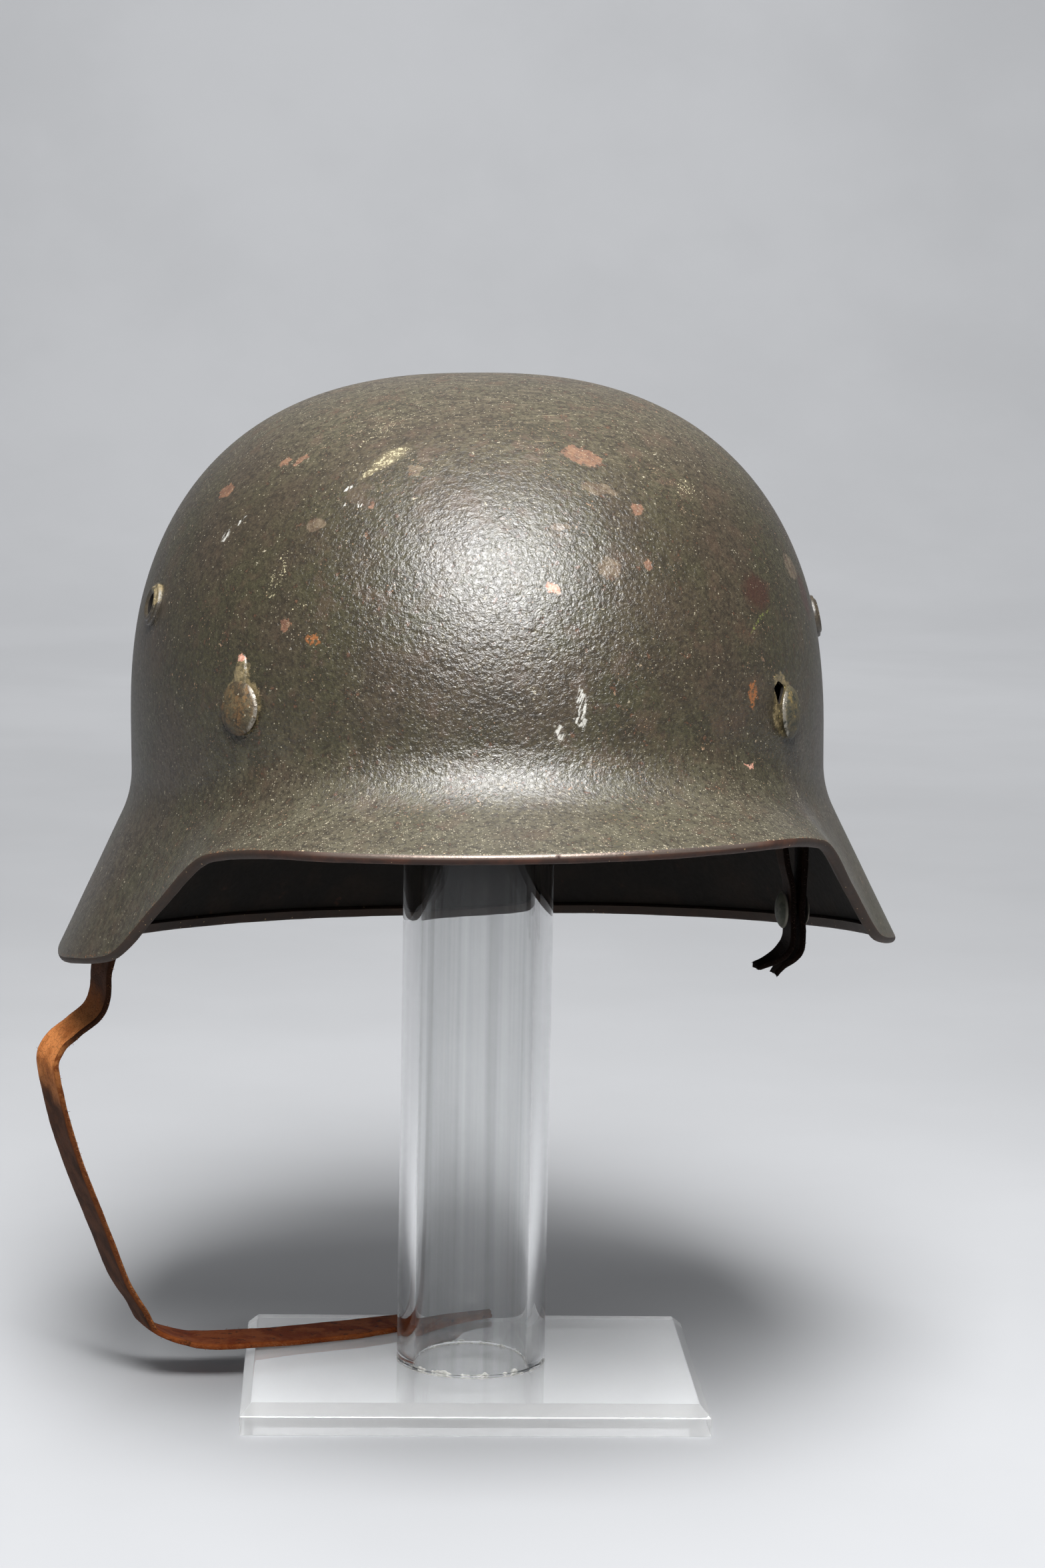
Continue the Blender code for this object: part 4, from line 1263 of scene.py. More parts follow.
def fibre_tree():
    """Torn fibres standing out of a leather edge, bent and of uneven length."""
    pattern = Pattern("torn_fibres", {
        "Spacing": "NodeSocketFloat", "Length": "NodeSocketFloat", "Thickness": "NodeSocketFloat",
        "Seed": "NodeSocketInt", "Material": "NodeSocketMaterial"})
    given = pattern.given
    length = given("Length")
    bend = pattern.node("GeometryNodeCurveQuadraticBezier", {}, {
        "Resolution": 4, "Start": (0.0, 0.0, 0.0), "Middle": pattern.spot(0.0, 0.0, length * 0.6),
        "End": pattern.spot(length * 0.45, 0.0, length)})
    values = {"Resolution": 3, "Radius": given("Thickness")}
    ring = pattern.node("GeometryNodeCurvePrimitiveCircle", {}, values)
    along = pattern.node("GeometryNodeSplineParameter", {}, {}, "Factor")
    bend = pattern.node("GeometryNodeSetCurveRadius", {}, {"Curve": bend, "Radius": 1.0 - along * 0.75})
    values = {"Curve": bend, "Profile Curve": ring, "Fill Caps": True}
    hair = pattern.node("GeometryNodeCurveToMesh", {}, values)
    lines = pattern.node("GeometryNodeMeshToCurve", {}, {"Mesh": given("Geometry")})
    values = {"Curve": lines, "Length": given("Spacing")}
    lines = pattern.node("GeometryNodeResampleCurve", {"mode": "LENGTH"}, values)
    points = pattern.node("GeometryNodeCurveToPoints", {"mode": "EVALUATED"}, {"Curve": lines})
    away = pattern.spot(*(
        pattern.node("GeometryNodeInputNamedAttribute", {"data_type": "FLOAT"}, {"Name": "fray_" + axis})
        for axis in "xyz"))
    stray = pattern.node("FunctionNodeRandomValue", {"data_type": "FLOAT_VECTOR"}, {
        0: (-0.9, -0.9, -0.9), 1: (0.9, 0.9, 0.9), "Seed": given("Seed")})
    away = pattern.vector("ADD", {0: away, 1: stray})
    turn = pattern.node("FunctionNodeAlignRotationToVector", {"axis": "Z"}, {"Vector": away})
    values = {2: 0.25, 3: 1.2, "Seed": given("Seed") + 7}
    size = pattern.node("FunctionNodeRandomValue", {"data_type": "FLOAT"}, values, 1)
    values = {"Points": points, "Instance": hair, "Rotation": turn, "Scale": size}
    return pattern.close(pattern.node("GeometryNodeInstanceOnPoints", {}, values))


# Finishes

def tinted(colour, *factors):
    """A colour times one factor, or times one for each of its three numbers."""
    factors = factors if len(factors) > 1 else factors * 3
    return tuple(value * factor for value, factor in zip(colour, factors))


class OutsidePaint(Finish):
    """Thick olive paint, wrinkled and chipped, rusty in places and worn to brown along the rim."""

    def __init__(self, colours):
        super().__init__("worn_olive_paint")
        self.colours = colours
        beside, self.forward, up = self.sides(self.place)
        self.from_rim = self.uv("rim_map")[1] * MAP_UNIT
        self.fine = self.noise(0.5, 2.0, 0.6)
        self.grit = self.noise(1.0, 4.0, 0.68)
        self.mottle = self.noise(2.2, 5.0, 0.70)
        self.patch = self.noise(7.5, 5.0, 0.62)
        self.cloud = self.noise(27.0, 4.0, 0.55)
        self.chipped = self.ragged(3.4, 2.0)
        self.torn = self.ragged(1.2, 0.9, self.chipped)
        # The crown's paler tan is kept to its middle, where the lamp above falls fullest: partly painted
        # light.
        middle = self.ease(beside * beside, 0.0058, 0.0008)
        self.crown = self.ease(up + self.cloud * 0.026, 0.246, 0.280) * (0.55 + middle * 0.45)
        self.front_dome = self.ease(self.forward, -0.040, -0.092)
        self.visor = self.ease(self.forward, -0.082, -0.106) * self.ease(up, 0.188, 0.170)
        brow = self.ease(up, 0.196, 0.176) * (1.0 - self.ease(up, 0.150, 0.140))
        self.brow = brow * self.front_dome
        self.flare = self.ease(up, 0.176, 0.150)

    def marked(self, rows, at, outer, inner, gritty=0.0):
        """1 on a table's marks and 0 away from them, with an edge that grit makes uneven."""
        reach = self.nearest(rows, at)
        if gritty:
            reach = reach + (self.grit - 0.5) * gritty
        return self.ease(reach, outer, inner)

    def coat(self):
        """Olive and brown in clouds and patches, darker in the hollows of the paint, and paler tan over
        the crown's middle: worn paint, and partly painted light from the lamp above.
        """
        mix, ease = self.mix, self.ease
        crown, patch, mottle, grit = self.crown, self.patch, self.mottle, self.grit
        paint = self.colours.paint
        dark = tinted(paint, 0.50, 0.47, 0.48)
        tan = (0.110, 0.094, 0.059)
        bronze = (0.080, 0.061, 0.036)
        browner = tinted(paint, 1.05, 0.93, 0.92)
        colour = mix(ease(self.cloud, 0.38, 0.62), browner, tinted(paint, 0.90, 0.95, 0.78))
        colour = mix(ease(patch, 0.48, 0.62) * 0.42, colour, dark)
        drawn = self.streaks((9.0, 1.1, 1.1), detail=4.0)
        # Paler tan over the crown: worn paint, and partly painted light from the lamp above.
        worn_tone = mix(ease(mottle, 0.42, 0.60), tan, bronze)
        colour = mix(crown * (0.26 + ease(patch, 0.62, 0.38) * 0.34), colour, worn_tone)
        colour = mix(ease(drawn, 0.54, 0.66) * crown * 0.60, colour, (0.150, 0.116, 0.078))
        colour = mix(ease(drawn, 0.46, 0.36) * crown * 0.55, colour, dark)
        rubbed = self.visor * (0.45 + ease(patch, 0.62, 0.36) * 0.40)
        rubbed = rubbed.most(self.brow * ease(patch, 0.56, 0.40) * 0.35)
        rubbed = rubbed.most(self.flare * ease(mottle, 0.54, 0.38) * 0.35)
        colour = mix(rubbed, colour, self.colours.dust)
        colour = mix(ease(mottle, 0.50, 0.61) * 0.68, colour, dark)
        calm = 1.0 - self.flare * 0.35
        colour = mix(ease(grit, 0.51, 0.62) * (0.72 + self.visor * 0.15) * calm, colour, dark)
        return mix(ease(grit, 0.47, 0.36) * (0.38 + crown * 0.20) * calm, colour, tan)

    def stains(self, colour):
        """Brown soaking, worn patches, rust and bright spots, and where it is soaked and where dry."""
        mix, ease, marked = self.mix, self.ease, self.marked
        mottle, grit, torn, rusty = self.mottle, self.grit, self.torn, self.colours.rust
        soak = ease(self.noise(9.0, 5.0, 0.68), 0.53, 0.65)
        soak = soak * (0.30 + self.crown * 0.50 + self.front_dome * 0.25)
        colour = mix(soak * 0.60, colour, (0.084, 0.050, 0.031))
        dark_red = marked(DARK_RED_MARKS, self.chipped, 1.30, 0.50)
        colour = mix(dark_red * 0.75, colour, (0.050, 0.020, 0.014))
        worn_tone = mix(ease(mottle, 0.44, 0.58), (0.220, 0.165, 0.110), (0.125, 0.085, 0.055))
        colour = mix(marked(TAN_MARKS, torn, 1.10, 0.85, 0.8) * 0.52, colour, worn_tone)

        freckles = ease(mottle, 0.62, 0.67) * ease(self.cloud + self.patch * 0.5, 0.62, 0.80)
        freckles = freckles * (0.30 + self.crown * 0.45 + self.front_dome * 0.45)
        rust_marks = marked(RUST_MARKS, torn, 1.05, 0.92, 0.7)
        rust_tone = mix(ease(mottle, 0.40, 0.58), rusty, tinted(rusty, 0.66, 0.62, 0.66))
        rust_tone = mix(ease(grit, 0.52, 0.62) * 0.75, rust_tone, tinted(rusty, 0.36, 0.28, 0.30))
        rust_tone = mix(ease(self.fine, 0.56, 0.66) * 0.40, rust_tone, (0.36, 0.27, 0.17))
        colour = mix(rust_marks.most(freckles) * 0.74, colour, rust_tone)

        # Tan halos round the rivets and the keyhole; on the raised neck the pale tan is partly a painted
        # highlight.
        halo = marked(HALO_MARKS, torn, 1.04, 0.92, 0.12)
        halo_tone = mix(ease(mottle, 0.42, 0.60), (0.245, 0.190, 0.100), (0.100, 0.080, 0.042))
        colour = mix(halo * 0.85, colour, halo_tone)
        # Bright yellow specks round the rivets: exposed brass, and partly a painted glint.
        colour = mix(self.specks(0.85, halo * 0.10), colour, (0.66, 0.54, 0.22))
        orange = marked(ORANGE_MARKS, torn, 1.1, 0.85) * ease(grit, 0.42, 0.54)
        colour = mix(orange * 0.8, colour, (0.30, 0.11, 0.035))
        pink = marked(PINK_MARKS, torn, 1.05, 0.90)
        colour = mix(pink, colour, mix(ease(grit, 0.4, 0.6), (0.54, 0.31, 0.23), (0.40, 0.18, 0.12)))
        return colour, soak, rust_marks.most(pink)

    def scratches(self, colour):
        """Fine scratches, arcs over the crown and pale flecks, and where the flecks are."""
        mix, ease = self.mix, self.ease
        crown, patch, cloud = self.crown, self.patch, self.cloud
        hair = self.streaks((15.0, 0.40, 0.40), (0.0, 0.0, 12.0), 2.0)
        hair = hair.most(self.streaks((10.0, 0.34, 0.34), (0.0, 20.0, -28.0), 2.0))
        hair = ease(hair, 0.66, 0.74) * ease(cloud + self.mottle * 0.4, 0.54, 0.76)
        colour = mix(hair * (0.22 + crown * 0.55), colour, (0.29, 0.24, 0.15))
        arcs = ease(self.streaks((16.0, 0.32, 0.32), (0.0, 0.0, -3.0)), 0.60, 0.68) * crown
        colour = mix(arcs * ease(patch, 0.42, 0.58) * 0.65, colour, (0.27, 0.225, 0.145))
        busy = 0.045 + crown * 0.10 + self.visor * 0.20 + self.brow * 0.08
        busy = busy + ease(patch, 0.50, 0.68) * 0.14
        flecks = self.specks(0.50, busy * 1.2).most(self.specks(1.0, busy * 0.16, self.torn))
        flecks = flecks * (0.24 + ease(self.grit, 0.60, 0.42) * 0.46)
        tone = mix(ease(cloud + patch, 1.05, 1.18), (0.50, 0.45, 0.33), (0.42, 0.25, 0.15))
        return mix(flecks, colour, tone), flecks

    def scrapes(self, colour):
        """Scraped cream, white and green paint and small chips on the rim, and where it is scraped."""
        mix, ease, marked = self.mix, self.ease, self.marked
        grit, torn = self.grit, self.torn
        scraped = marked(CREAM_MARKS, self.chipped, 1.25, 0.35)
        strewn = scraped.most(marked(CREAM_TRAILS, self.chipped, 1.30, 0.30) * 0.75)
        scrape = self.specks(0.55, strewn * 0.60, torn).most(self.specks(0.9, strewn * 0.50, torn))
        solid = ease(grit + scraped * 0.09, 0.60, 0.64) * ease(scraped, 0.30, 0.7)
        scrape = scrape.most(solid * 0.85)
        colour = mix(scraped * 0.60, colour, (0.19, 0.155, 0.09))
        colour = mix(scrape * 0.9, colour, (0.48, 0.43, 0.27))
        white = marked(WHITE_MARKS, torn, 1.15, 0.70)
        white = white * ease(self.streaks((0.5, 3.2, 3.2), (0.0, 24.0, 0.0)), 0.44, 0.55)
        colour = mix(white * 0.85, colour, (0.60, 0.59, 0.54))
        green = marked(GREEN_MARKS, torn, 1.0, 0.6) * ease(grit, 0.45, 0.6)
        colour = mix(green * 0.7, colour, (0.20, 0.22, 0.06))
        chips = ease(self.from_rim - (self.mottle - 0.5) * 1.6, 0.9, 0.1) * ease(grit, 0.58, 0.63)
        tone = mix(ease(self.forward, -0.104, -0.124), (0.28, 0.13, 0.06), (0.50, 0.40, 0.26))
        return mix(chips * 0.9, colour, tone), scrape

    def skin(self):
        """Height of the paint's wrinkles, flakes and wiped streaks."""
        wrinkle = self.noise(1.05, 3.0, 0.66, twist=0.5)
        flake = self.noise(3.4, 3.0, 0.62, twist=0.4)
        strength = 0.50 + self.front_dome * 0.60 - self.visor * 0.35 - self.crown * 0.20
        strength = strength - self.flare * (1.0 - self.front_dome) * 0.24
        wiped = self.marked(WIPED_MARKS, self.place, 1.1, 0.4)
        wiped = wiped * self.streaks((40.0, 0.9, 0.9), detail=1.0)
        return (wrinkle * 0.26 + flake * 0.32) * strength + self.fine * 0.03 + wiped * 0.10

    def made(self):
        """The material, its layers one over another."""
        colour, soak, dry = self.stains(self.coat())
        colour, flecks = self.scratches(colour)
        colour, scrape = self.scrapes(colour)
        rough = 0.43 - self.front_dome * 0.130 + self.crown * 0.12 + self.visor * 0.14
        rough = rough + (self.grit - 0.5) * 0.25 + dry.most(scrape * 0.6) * 0.20
        rough = rough + soak * 0.10 + flecks * 0.1
        return self.close(Base_Color=colour, Roughness=rough, Normal=self.bump(self.skin()),
                          Specular_IOR_Level=0.80)


def rim_paint(colours):
    """The rolled rim: dark brown primer, with some olive left above and rubbed to steel at the brow."""
    finish = Finish("worn_rim")
    mix, ease = finish.mix, finish.ease
    forward = finish.sides(finish.place)[1]
    from_rim = finish.uv("rim_map")[1] * MAP_UNIT
    grit = finish.noise(1.0, 4.0, 0.68)
    mottle = finish.noise(2.4, 4.0, 0.65)
    patch = ease(finish.noise(6.0, 4.0, 0.6), 0.44, 0.66)
    colour = mix(patch, colours.rim, tinted(colours.rim, 1.8, 1.5, 1.3))
    front = ease(forward, -0.100, -0.118)
    colour = mix((1.0 - front) * 0.70, colour, (0.033, 0.024, 0.017))
    painted = ease(from_rim + (mottle - 0.5) * 0.5, -0.42, -0.30)
    colour = mix(painted * 0.9, colour, colours.dust)
    bare = ease(forward, -0.118, -0.132) * ease(from_rim, -0.28, -0.50) * ease(from_rim, -1.7, -1.0)
    bare = bare * ease(mottle, 0.76, 0.62)
    colour = mix(bare * 0.85, colour, (0.185, 0.148, 0.126))
    colour = mix(finish.specks(0.7, 0.018), colour, (0.36, 0.24, 0.12))
    rough = 0.66 - bare * 0.30 + (grit - 0.5) * 0.12
    return finish.close(Base_Color=colour, Roughness=rough, Metallic=bare * 0.75,
                        Normal=finish.bump(grit * 0.05 + mottle * 0.07), Specular_IOR_Level=0.30)


def inside_paint(colours):
    """Dark brown-black paint inside, made darker still as painted shade of the hollow, dusty and slightly
    rusty low down.
    """
    finish = Finish("inside_paint")
    mix, ease = finish.mix, finish.ease
    cloud = finish.noise(18.0, 4.0, 0.6)
    fine = finish.noise(1.3, 3.0, 0.6)
    colour = mix(ease(cloud, 0.40, 0.70), colours.inside_dark_and_shade, tinted(colours.inside_dark_and_shade, 1.7, 1.45, 1.25))
    rust = ease(finish.noise(5.0, 4.0, 0.65), 0.62, 0.72) * ease(cloud, 0.45, 0.62)
    colour = mix(rust * 0.6, colour, (0.060, 0.026, 0.014))
    height = finish.noise(1.9, 3.0, 0.55) * 0.12 + fine * 0.04
    return finish.close(Base_Color=colour, Roughness=0.75 + fine * 0.2, Normal=finish.bump(height),
                        Specular_IOR_Level=0.25)


def rivet_metal(name, settings, lit_brow_side, tarnish, glint):
    """A head under patchy tarnish, its edge rubbed to bright steel and kept to the side towards the brow,
    which faces the lamps: worn metal, and partly a painted highlight.
    """
    finish = Finish(name)
    mix, ease = finish.mix, finish.ease
    share = finish.kept("from_middle")
    beside = finish.kept("to_one_side")
    uneven = finish.noise(2.6, 5.0, 0.68)
    grain = finish.noise(0.9, 4.0, 0.68)
    fine = finish.noise(0.35, 3.0, 0.6)
    dark = tinted(tarnish, 0.34, 0.44, 0.62)
    colour = mix(ease(uneven, 0.43, 0.56), tarnish, dark)
    colour = mix(ease(finish.noise(3.4, 3.0, 0.6), 0.40, 0.58) * 0.55, colour, (0.092, 0.079, 0.043))
    colour = mix(ease(grain, 0.52, 0.63) * 0.65, colour, dark)
    colour = mix(ease(grain, 0.46, 0.36) * 0.40, colour, (0.16, 0.13, 0.072))
    colour = mix(ease(finish.noise(1.7, 4.0, 0.65), 0.57, 0.66) * 0.6, colour, glint)
    colour = mix(finish.specks(0.8, 0.05) * 0.7, colour, (0.42, 0.38, 0.27))
    # Rubbed steel edge, kept to the brow side that faces the lamps: partly a painted highlight.
    edge = ease(share + (uneven - 0.5) * 0.22, 0.86, 0.97) * ease(grain, 0.62, 0.50)
    edge = edge * ease(beside * lit_brow_side + (uneven - 0.5) * 0.8, 0.35, 0.75)
    colour = mix(edge * 0.85, colour, settings.steel)
    height = uneven * 0.28 + grain * 0.16 + fine * 0.04
    return finish.close(Base_Color=colour, Roughness=0.50 + grain * 0.14 - edge * 0.20,
                        Metallic=edge * 0.6 + 0.10, Normal=finish.bump(height))


def hoop_steel(settings):
    """Grey galvanised strip with brown rust blooming over it."""
    finish = Finish("hoop_steel_worn")
    bloom = finish.noise(4.5, 4.0, 0.65)
    fine = finish.noise(0.6, 3.0, 0.6)
    grey = tinted(settings.steel, 0.42)
    colour = finish.mix(finish.ease(finish.noise(12.0, 3.0), 0.4, 0.65), grey, tinted(grey, 0.7))
    rust = finish.ease(bloom, 0.50, 0.66)
    colour = finish.mix(rust, colour, (0.075, 0.034, 0.017))
    return finish.close(Base_Color=colour, Roughness=0.40 + rust * 0.35 + (fine - 0.5) * 0.1,
                        Metallic=0.8 - rust * 0.75, Normal=finish.bump(bloom * 0.10 + fine * 0.04))


def strap_leather(name, settings, dark_run, raw_stretch, low_run, tone, raw_tone, shine):
    """Old chin strap leather: dark grain that has worn to raw orange brown, torn at its edges."""
    finish = Finish(name)
    mix, ease = finish.mix, finish.ease
    run, round_strap, _ = finish.uv("face_map")
    run = run * MAP_UNIT
    cloud = finish.noise(7.0, 4.0, 0.6)
    fibre = finish.noise(0.45, 3.0, 0.65)
    crack = finish.cells(1.5, finish.ragged(2.0, 0.6), "DISTANCE_TO_EDGE")
    uneven = finish.noise(1.6, 4.0, 0.7) - 0.5
    raw = settings.raw
    # A low tone darkens the whole leather; for the short strap it is painted shade under the helmet's
    # flare.
    grain = tinted(settings.grain, tone)
    dark = tinted(grain, 0.45)
    red = tinted(raw, 0.62, 0.44, 0.40)

    # Faces and edges of the strap, by the map round it
    outer = ease(round_strap, 0.405, 0.395)
    near = ease(round_strap, 0.895, 0.91)
    far = ease(round_strap, 0.405, 0.415) * ease(round_strap, 0.495, 0.485)
    frayed = near.most(far)
    lying = ease(run, low_run - 3.0, low_run + 3.0)
    dark_edge = ease(run, dark_run + 8.0, dark_run)

    # Grain, worn raw in one stretch and red where it lies low
    worn_top = ease(run + cloud * 14.0, *raw_stretch[0]) * ease(run + cloud * 10.0, *raw_stretch[1])
    worn_raw = tinted(raw, raw_tone)
    top_tone = mix(ease(cloud, 0.42, 0.66), worn_raw, tinted(worn_raw, 0.66, 0.58, 0.52))
    low_tone = mix(ease(cloud, 0.44, 0.60), red, tinted(red, 0.66, 0.50, 0.45))
    low_tone = mix(ease(finish.noise(3.4, 4.0, 0.65), 0.575, 0.64) * 0.8, low_tone, dark)
    face = mix(ease(cloud, 0.35, 0.65), grain, dark)
    face = mix(worn_top, face, top_tone)
    face = mix(lying, face, low_tone)
    face = mix(ease(crack, 0.07, 0.02) * 0.35, face, dark)
    face = mix(ease(fibre, 0.58, 0.78) * 0.22, face, raw)

    # Torn edges and the inner face
    torn = ease(finish.noise(2.2, 4.0, 0.65), 0.42, 0.62)
    edge_tone = mix(torn, raw, tinted(raw, 0.48, 0.36, 0.34))
    dull = ease(round_strap + uneven * 0.10, 0.925, 0.945) * (1.0 - worn_top)
    dull = dull.most(ease(finish.noise(0.9, 3.0, 0.65), 0.52, 0.60) * (1.0 - worn_top) * 0.8)
    edge_tone = mix(dull * 0.9, edge_tone, tinted(raw, 0.26, 0.22, 0.26))
    edge_tone = mix(lying * 0.85, edge_tone, low_tone)
    edge_tone = mix(dark_edge, edge_tone, dark)
    inner = mix(ease(cloud, 0.4, 0.7), tinted(raw, 0.34 * tone), dark)
    inner = mix(lying, inner, low_tone)

    colour = mix(frayed, mix(outer, inner, face), edge_tone)
    height = ease(crack, 0.0, 0.12) * 0.07 + fibre * 0.05 + cloud * 0.12 + frayed * uneven * 0.25
    rough = 0.72 + (fibre - 0.5) * 0.25 + frayed * 0.2
    return finish.close(Base_Color=colour, Roughness=rough, Normal=finish.bump(height),
                        Specular_IOR_Level=shine)


def leather_fibre(name, raw):
    """Loose fibres of torn leather."""
    finish = Finish(name)
    cloud = finish.noise(5.0, 3.0, 0.6)
    colour = finish.mix(finish.ease(cloud, 0.4, 0.62), tinted(raw, 0.9, 0.9, 1.0),
                        tinted(raw, 0.28, 0.22, 0.24))
    return finish.close(Base_Color=colour, Roughness=0.75 + (cloud - 0.5) * 0.2)


def stud_metal(settings):
    """Grey green tarnished button metal."""
    finish = Finish("stud_metal_tarnished")
    share = finish.kept("from_middle")
    uneven = finish.noise(2.0, 4.0, 0.6)
    fine = finish.noise(0.45, 3.0, 0.6)
    colour = finish.mix(finish.ease(uneven, 0.42, 0.60), (0.080, 0.080, 0.054), (0.040, 0.042, 0.028))
    edge = finish.ease(share + (uneven - 0.5) * 0.10, 0.86, 0.97)
    colour = finish.mix(edge * 0.5, colour, settings.steel)
    return finish.close(Base_Color=colour, Roughness=0.50 + fine * 0.2, Metallic=0.10 + edge * 0.5,
                        Normal=finish.bump(uneven * 0.07 + fine * 0.03))


def clear_acrylic(settings, name, scuff, milky, painted_band_share, gloss):
    """Clear polished acrylic with faint scuffs, dust and darker upright bands, which are painted shade for
    darker surroundings seen through the tube; milky is what has gone white.
    """
    finish = Finish(name)
    haze = finish.noise(22.0, 4.0, 0.6)
    hair = finish.streaks((20.0, 0.30, 0.30), (0.0, 0.0, 35.0), 2.0)
    dust = finish.ease(finish.noise(0.9, 2.0, 0.5), 0.70, 0.76) * finish.ease(haze, 0.5, 0.65)
    clear = tuple(settings.clear)
    # Darker upright bands in the tint: painted shade standing in for darker surroundings seen through the
    # tube.
    painted_dark_bands = finish.ease(finish.streaks((5.0, 5.0, 500.0)), 0.34, 0.66)
    colour = finish.mix(painted_dark_bands * painted_band_share, clear, tinted(clear, 0.70))
    colour = finish.mix(dust * 0.35, colour, (0.72, 0.72, 0.70))
    rough = finish.ease(hair, 0.70, 0.80) * scuff + finish.ease(haze, 0.45, 0.75) * scuff * 0.30
    return finish.close(0.9, Base_Color=colour, Roughness=rough, IOR=1.49, Transmission_Weight=1.0 - milky,
                        Specular_IOR_Level=gloss)


def dried_cement():
    """White dried cement."""
    finish = Finish("dried_cement")
    grit = finish.noise(0.8, 3.0, 0.6)
    colour = finish.mix(finish.ease(grit, 0.35, 0.65), (0.86, 0.85, 0.81), (0.55, 0.54, 0.50))
    return finish.close(Base_Color=colour, Roughness=0.30 + grit * 0.3)


def backdrop_cloth(settings):
    """Pale cloth under and behind the stand, in faint clouds."""
    finish = Finish("pale_backdrop")
    cloud = finish.noise(240.0, 4.0, 0.55)
    floor = settings.floor
    lighter = tuple(min(value * 1.03, 1.0) for value in floor)
    colour = finish.mix(finish.ease(cloud, 0.30, 0.70), tinted(floor, 0.97), lighter)
    return finish.close(Base_Color=colour, Roughness=0.85 + (cloud - 0.5) * 0.1)


# Operators

def settings_of(name):
    """The values that the panel shows under this name."""
    return getattr(bpy.context.scene, name)


def in_metres(sizes):
    """A tree's sizes, given in millimetres."""
    return {name: size * MM for name, size in sizes.items()}


def set_fastener(tree, node, place, sizes, values):
    """Grows a rivet or a stud of these sizes in millimetres where it belongs and hands it over."""
    values = {**in_metres(sizes), **values}
    fastener = grown(node + "_worn", bpy.data.meshes.new("seed"), tree, values)
    place.translation *= MM
    fastener.data.transform(place)
    fastener.data.shade_smooth()
    hand_over(fastener, node, 55.0)


class HELMET_OT_shell(bpy.types.Operator):
    """Presses the steel shell with its rolled rim, vents, keyhole and worn paint"""
    bl_idname = "helmet.shell"
    bl_label = "Shell"

    def execute(self, context):
        settings = settings_of("helmet_shell_settings")
        form = shell_form(settings.around, settings.waves / MM)
        outside, inside = OutsidePaint(settings).made(), inside_paint(settings)
        finishes = [outside, inside, rim_paint(settings), inside]
        shell = mesh_piece("helmet_shell_painted", form, finishes)
        raised = mesh_piece("raised", closed(raised_form()), [outside])
        cuts = mesh_piece("cuts", closed(cut_form()), [inside])
        dish = mesh_piece("dish", closed(dish_form()), [outside])
        plate = shell.modifiers.new("Steel wall", "SOLIDIFY")
        plate.thickness = WALL * MM
        plate.offset = -1.0
        plate.material_offset = 1
        plate.material_offset_rim = 1
        boolean(shell, raised, "UNION")
        boolean(shell, dish, "DIFFERENCE")
        boolean(shell, cuts, "DIFFERENCE")
        made_plain(shell)
        cleared([raised, cuts, dish])
        hand_over(shell, "helmet_shell", 38.0)
        return {"FINISHED"}


class HELMET_OT_hoop(bpy.types.Operator):
    """Bends the inner hoop and its two wire bales"""
    bl_idname = "helmet.hoop"
    bl_label = "Hoop and Bales"

    def execute(self, context):
        steel = hoop_steel(settings_of("helmet_fittings"))
        hoop = mesh_piece("liner_hoop_steel", hoop_form(), [steel])
        hand_over(hoop, "liner_hoop", 50.0)
        return {"FINISHED"}


class HELMET_OT_rivets(bpy.types.Operator):
    """Sets the three liner rivets, the left one pulled and tilted"""
    bl_idname = "helmet.rivets"
    bl_label = "Rivets"

    def execute(self, context):
        settings = settings_of("helmet_fittings")
        tree = fastener_tree()
        browned = rivet_metal("rivet_metal_brown", settings, 1.0, settings.patina, (0.21, 0.11, 0.04))
        brassy = rivet_metal("rivet_metal_brassy", settings, -1.0, settings.brass, (0.24, 0.165, 0.05))
        for node, (azimuth, height, lift, tilt) in RIVETS.items():
            metal = brassy if node == "liner_rivet_left" else browned
            behind = dome_radius(azimuth, height) - dome_radius(azimuth, BAND_TOP) + LEG_SPACE
            legs = WALL + BAND_SPACE + BAND_WALL + behind
            sizes = {**RIVET_SIZES, "Head Height": lift + RIVET_SIZES["Head Under"],
                     "Shank Foot": -(legs + 0.5 * RIVET_SIZES["Leg Thickness"])}
            values = {"Head Radius": settings.rivet_radius, "Head Rise": settings.rivet_rise,
                      "Legs": True, "Material": metal}
            turn = Matrix.Rotation(math.radians(tilt), 4, "Y")
            place = on_dome(azimuth, height) @ turn
            set_fastener(tree, node, place, sizes, values)
        return {"FINISHED"}


def stud_place(name):
    """Where a stud sits, with its own Z axis the way its head faces."""
    middle, facing, _ = STUDS[name]
    turn = Vector(facing).to_track_quat("Z", "Y").to_matrix().to_4x4()
    return Matrix.Translation(Vector(middle)) @ turn


def punch_strap(strap, stud):
    """Punches a strap for the stud that goes through it."""
    profile = drill_profile(STUD_SHANK + STUD_PLAY)
    punch = mesh_piece("punch", closed(lathe(profile, stud_place(stud), 20, bmesh.new())))
    boolean(strap, punch, "DIFFERENCE")
    made_plain(strap)
    cleared([punch])


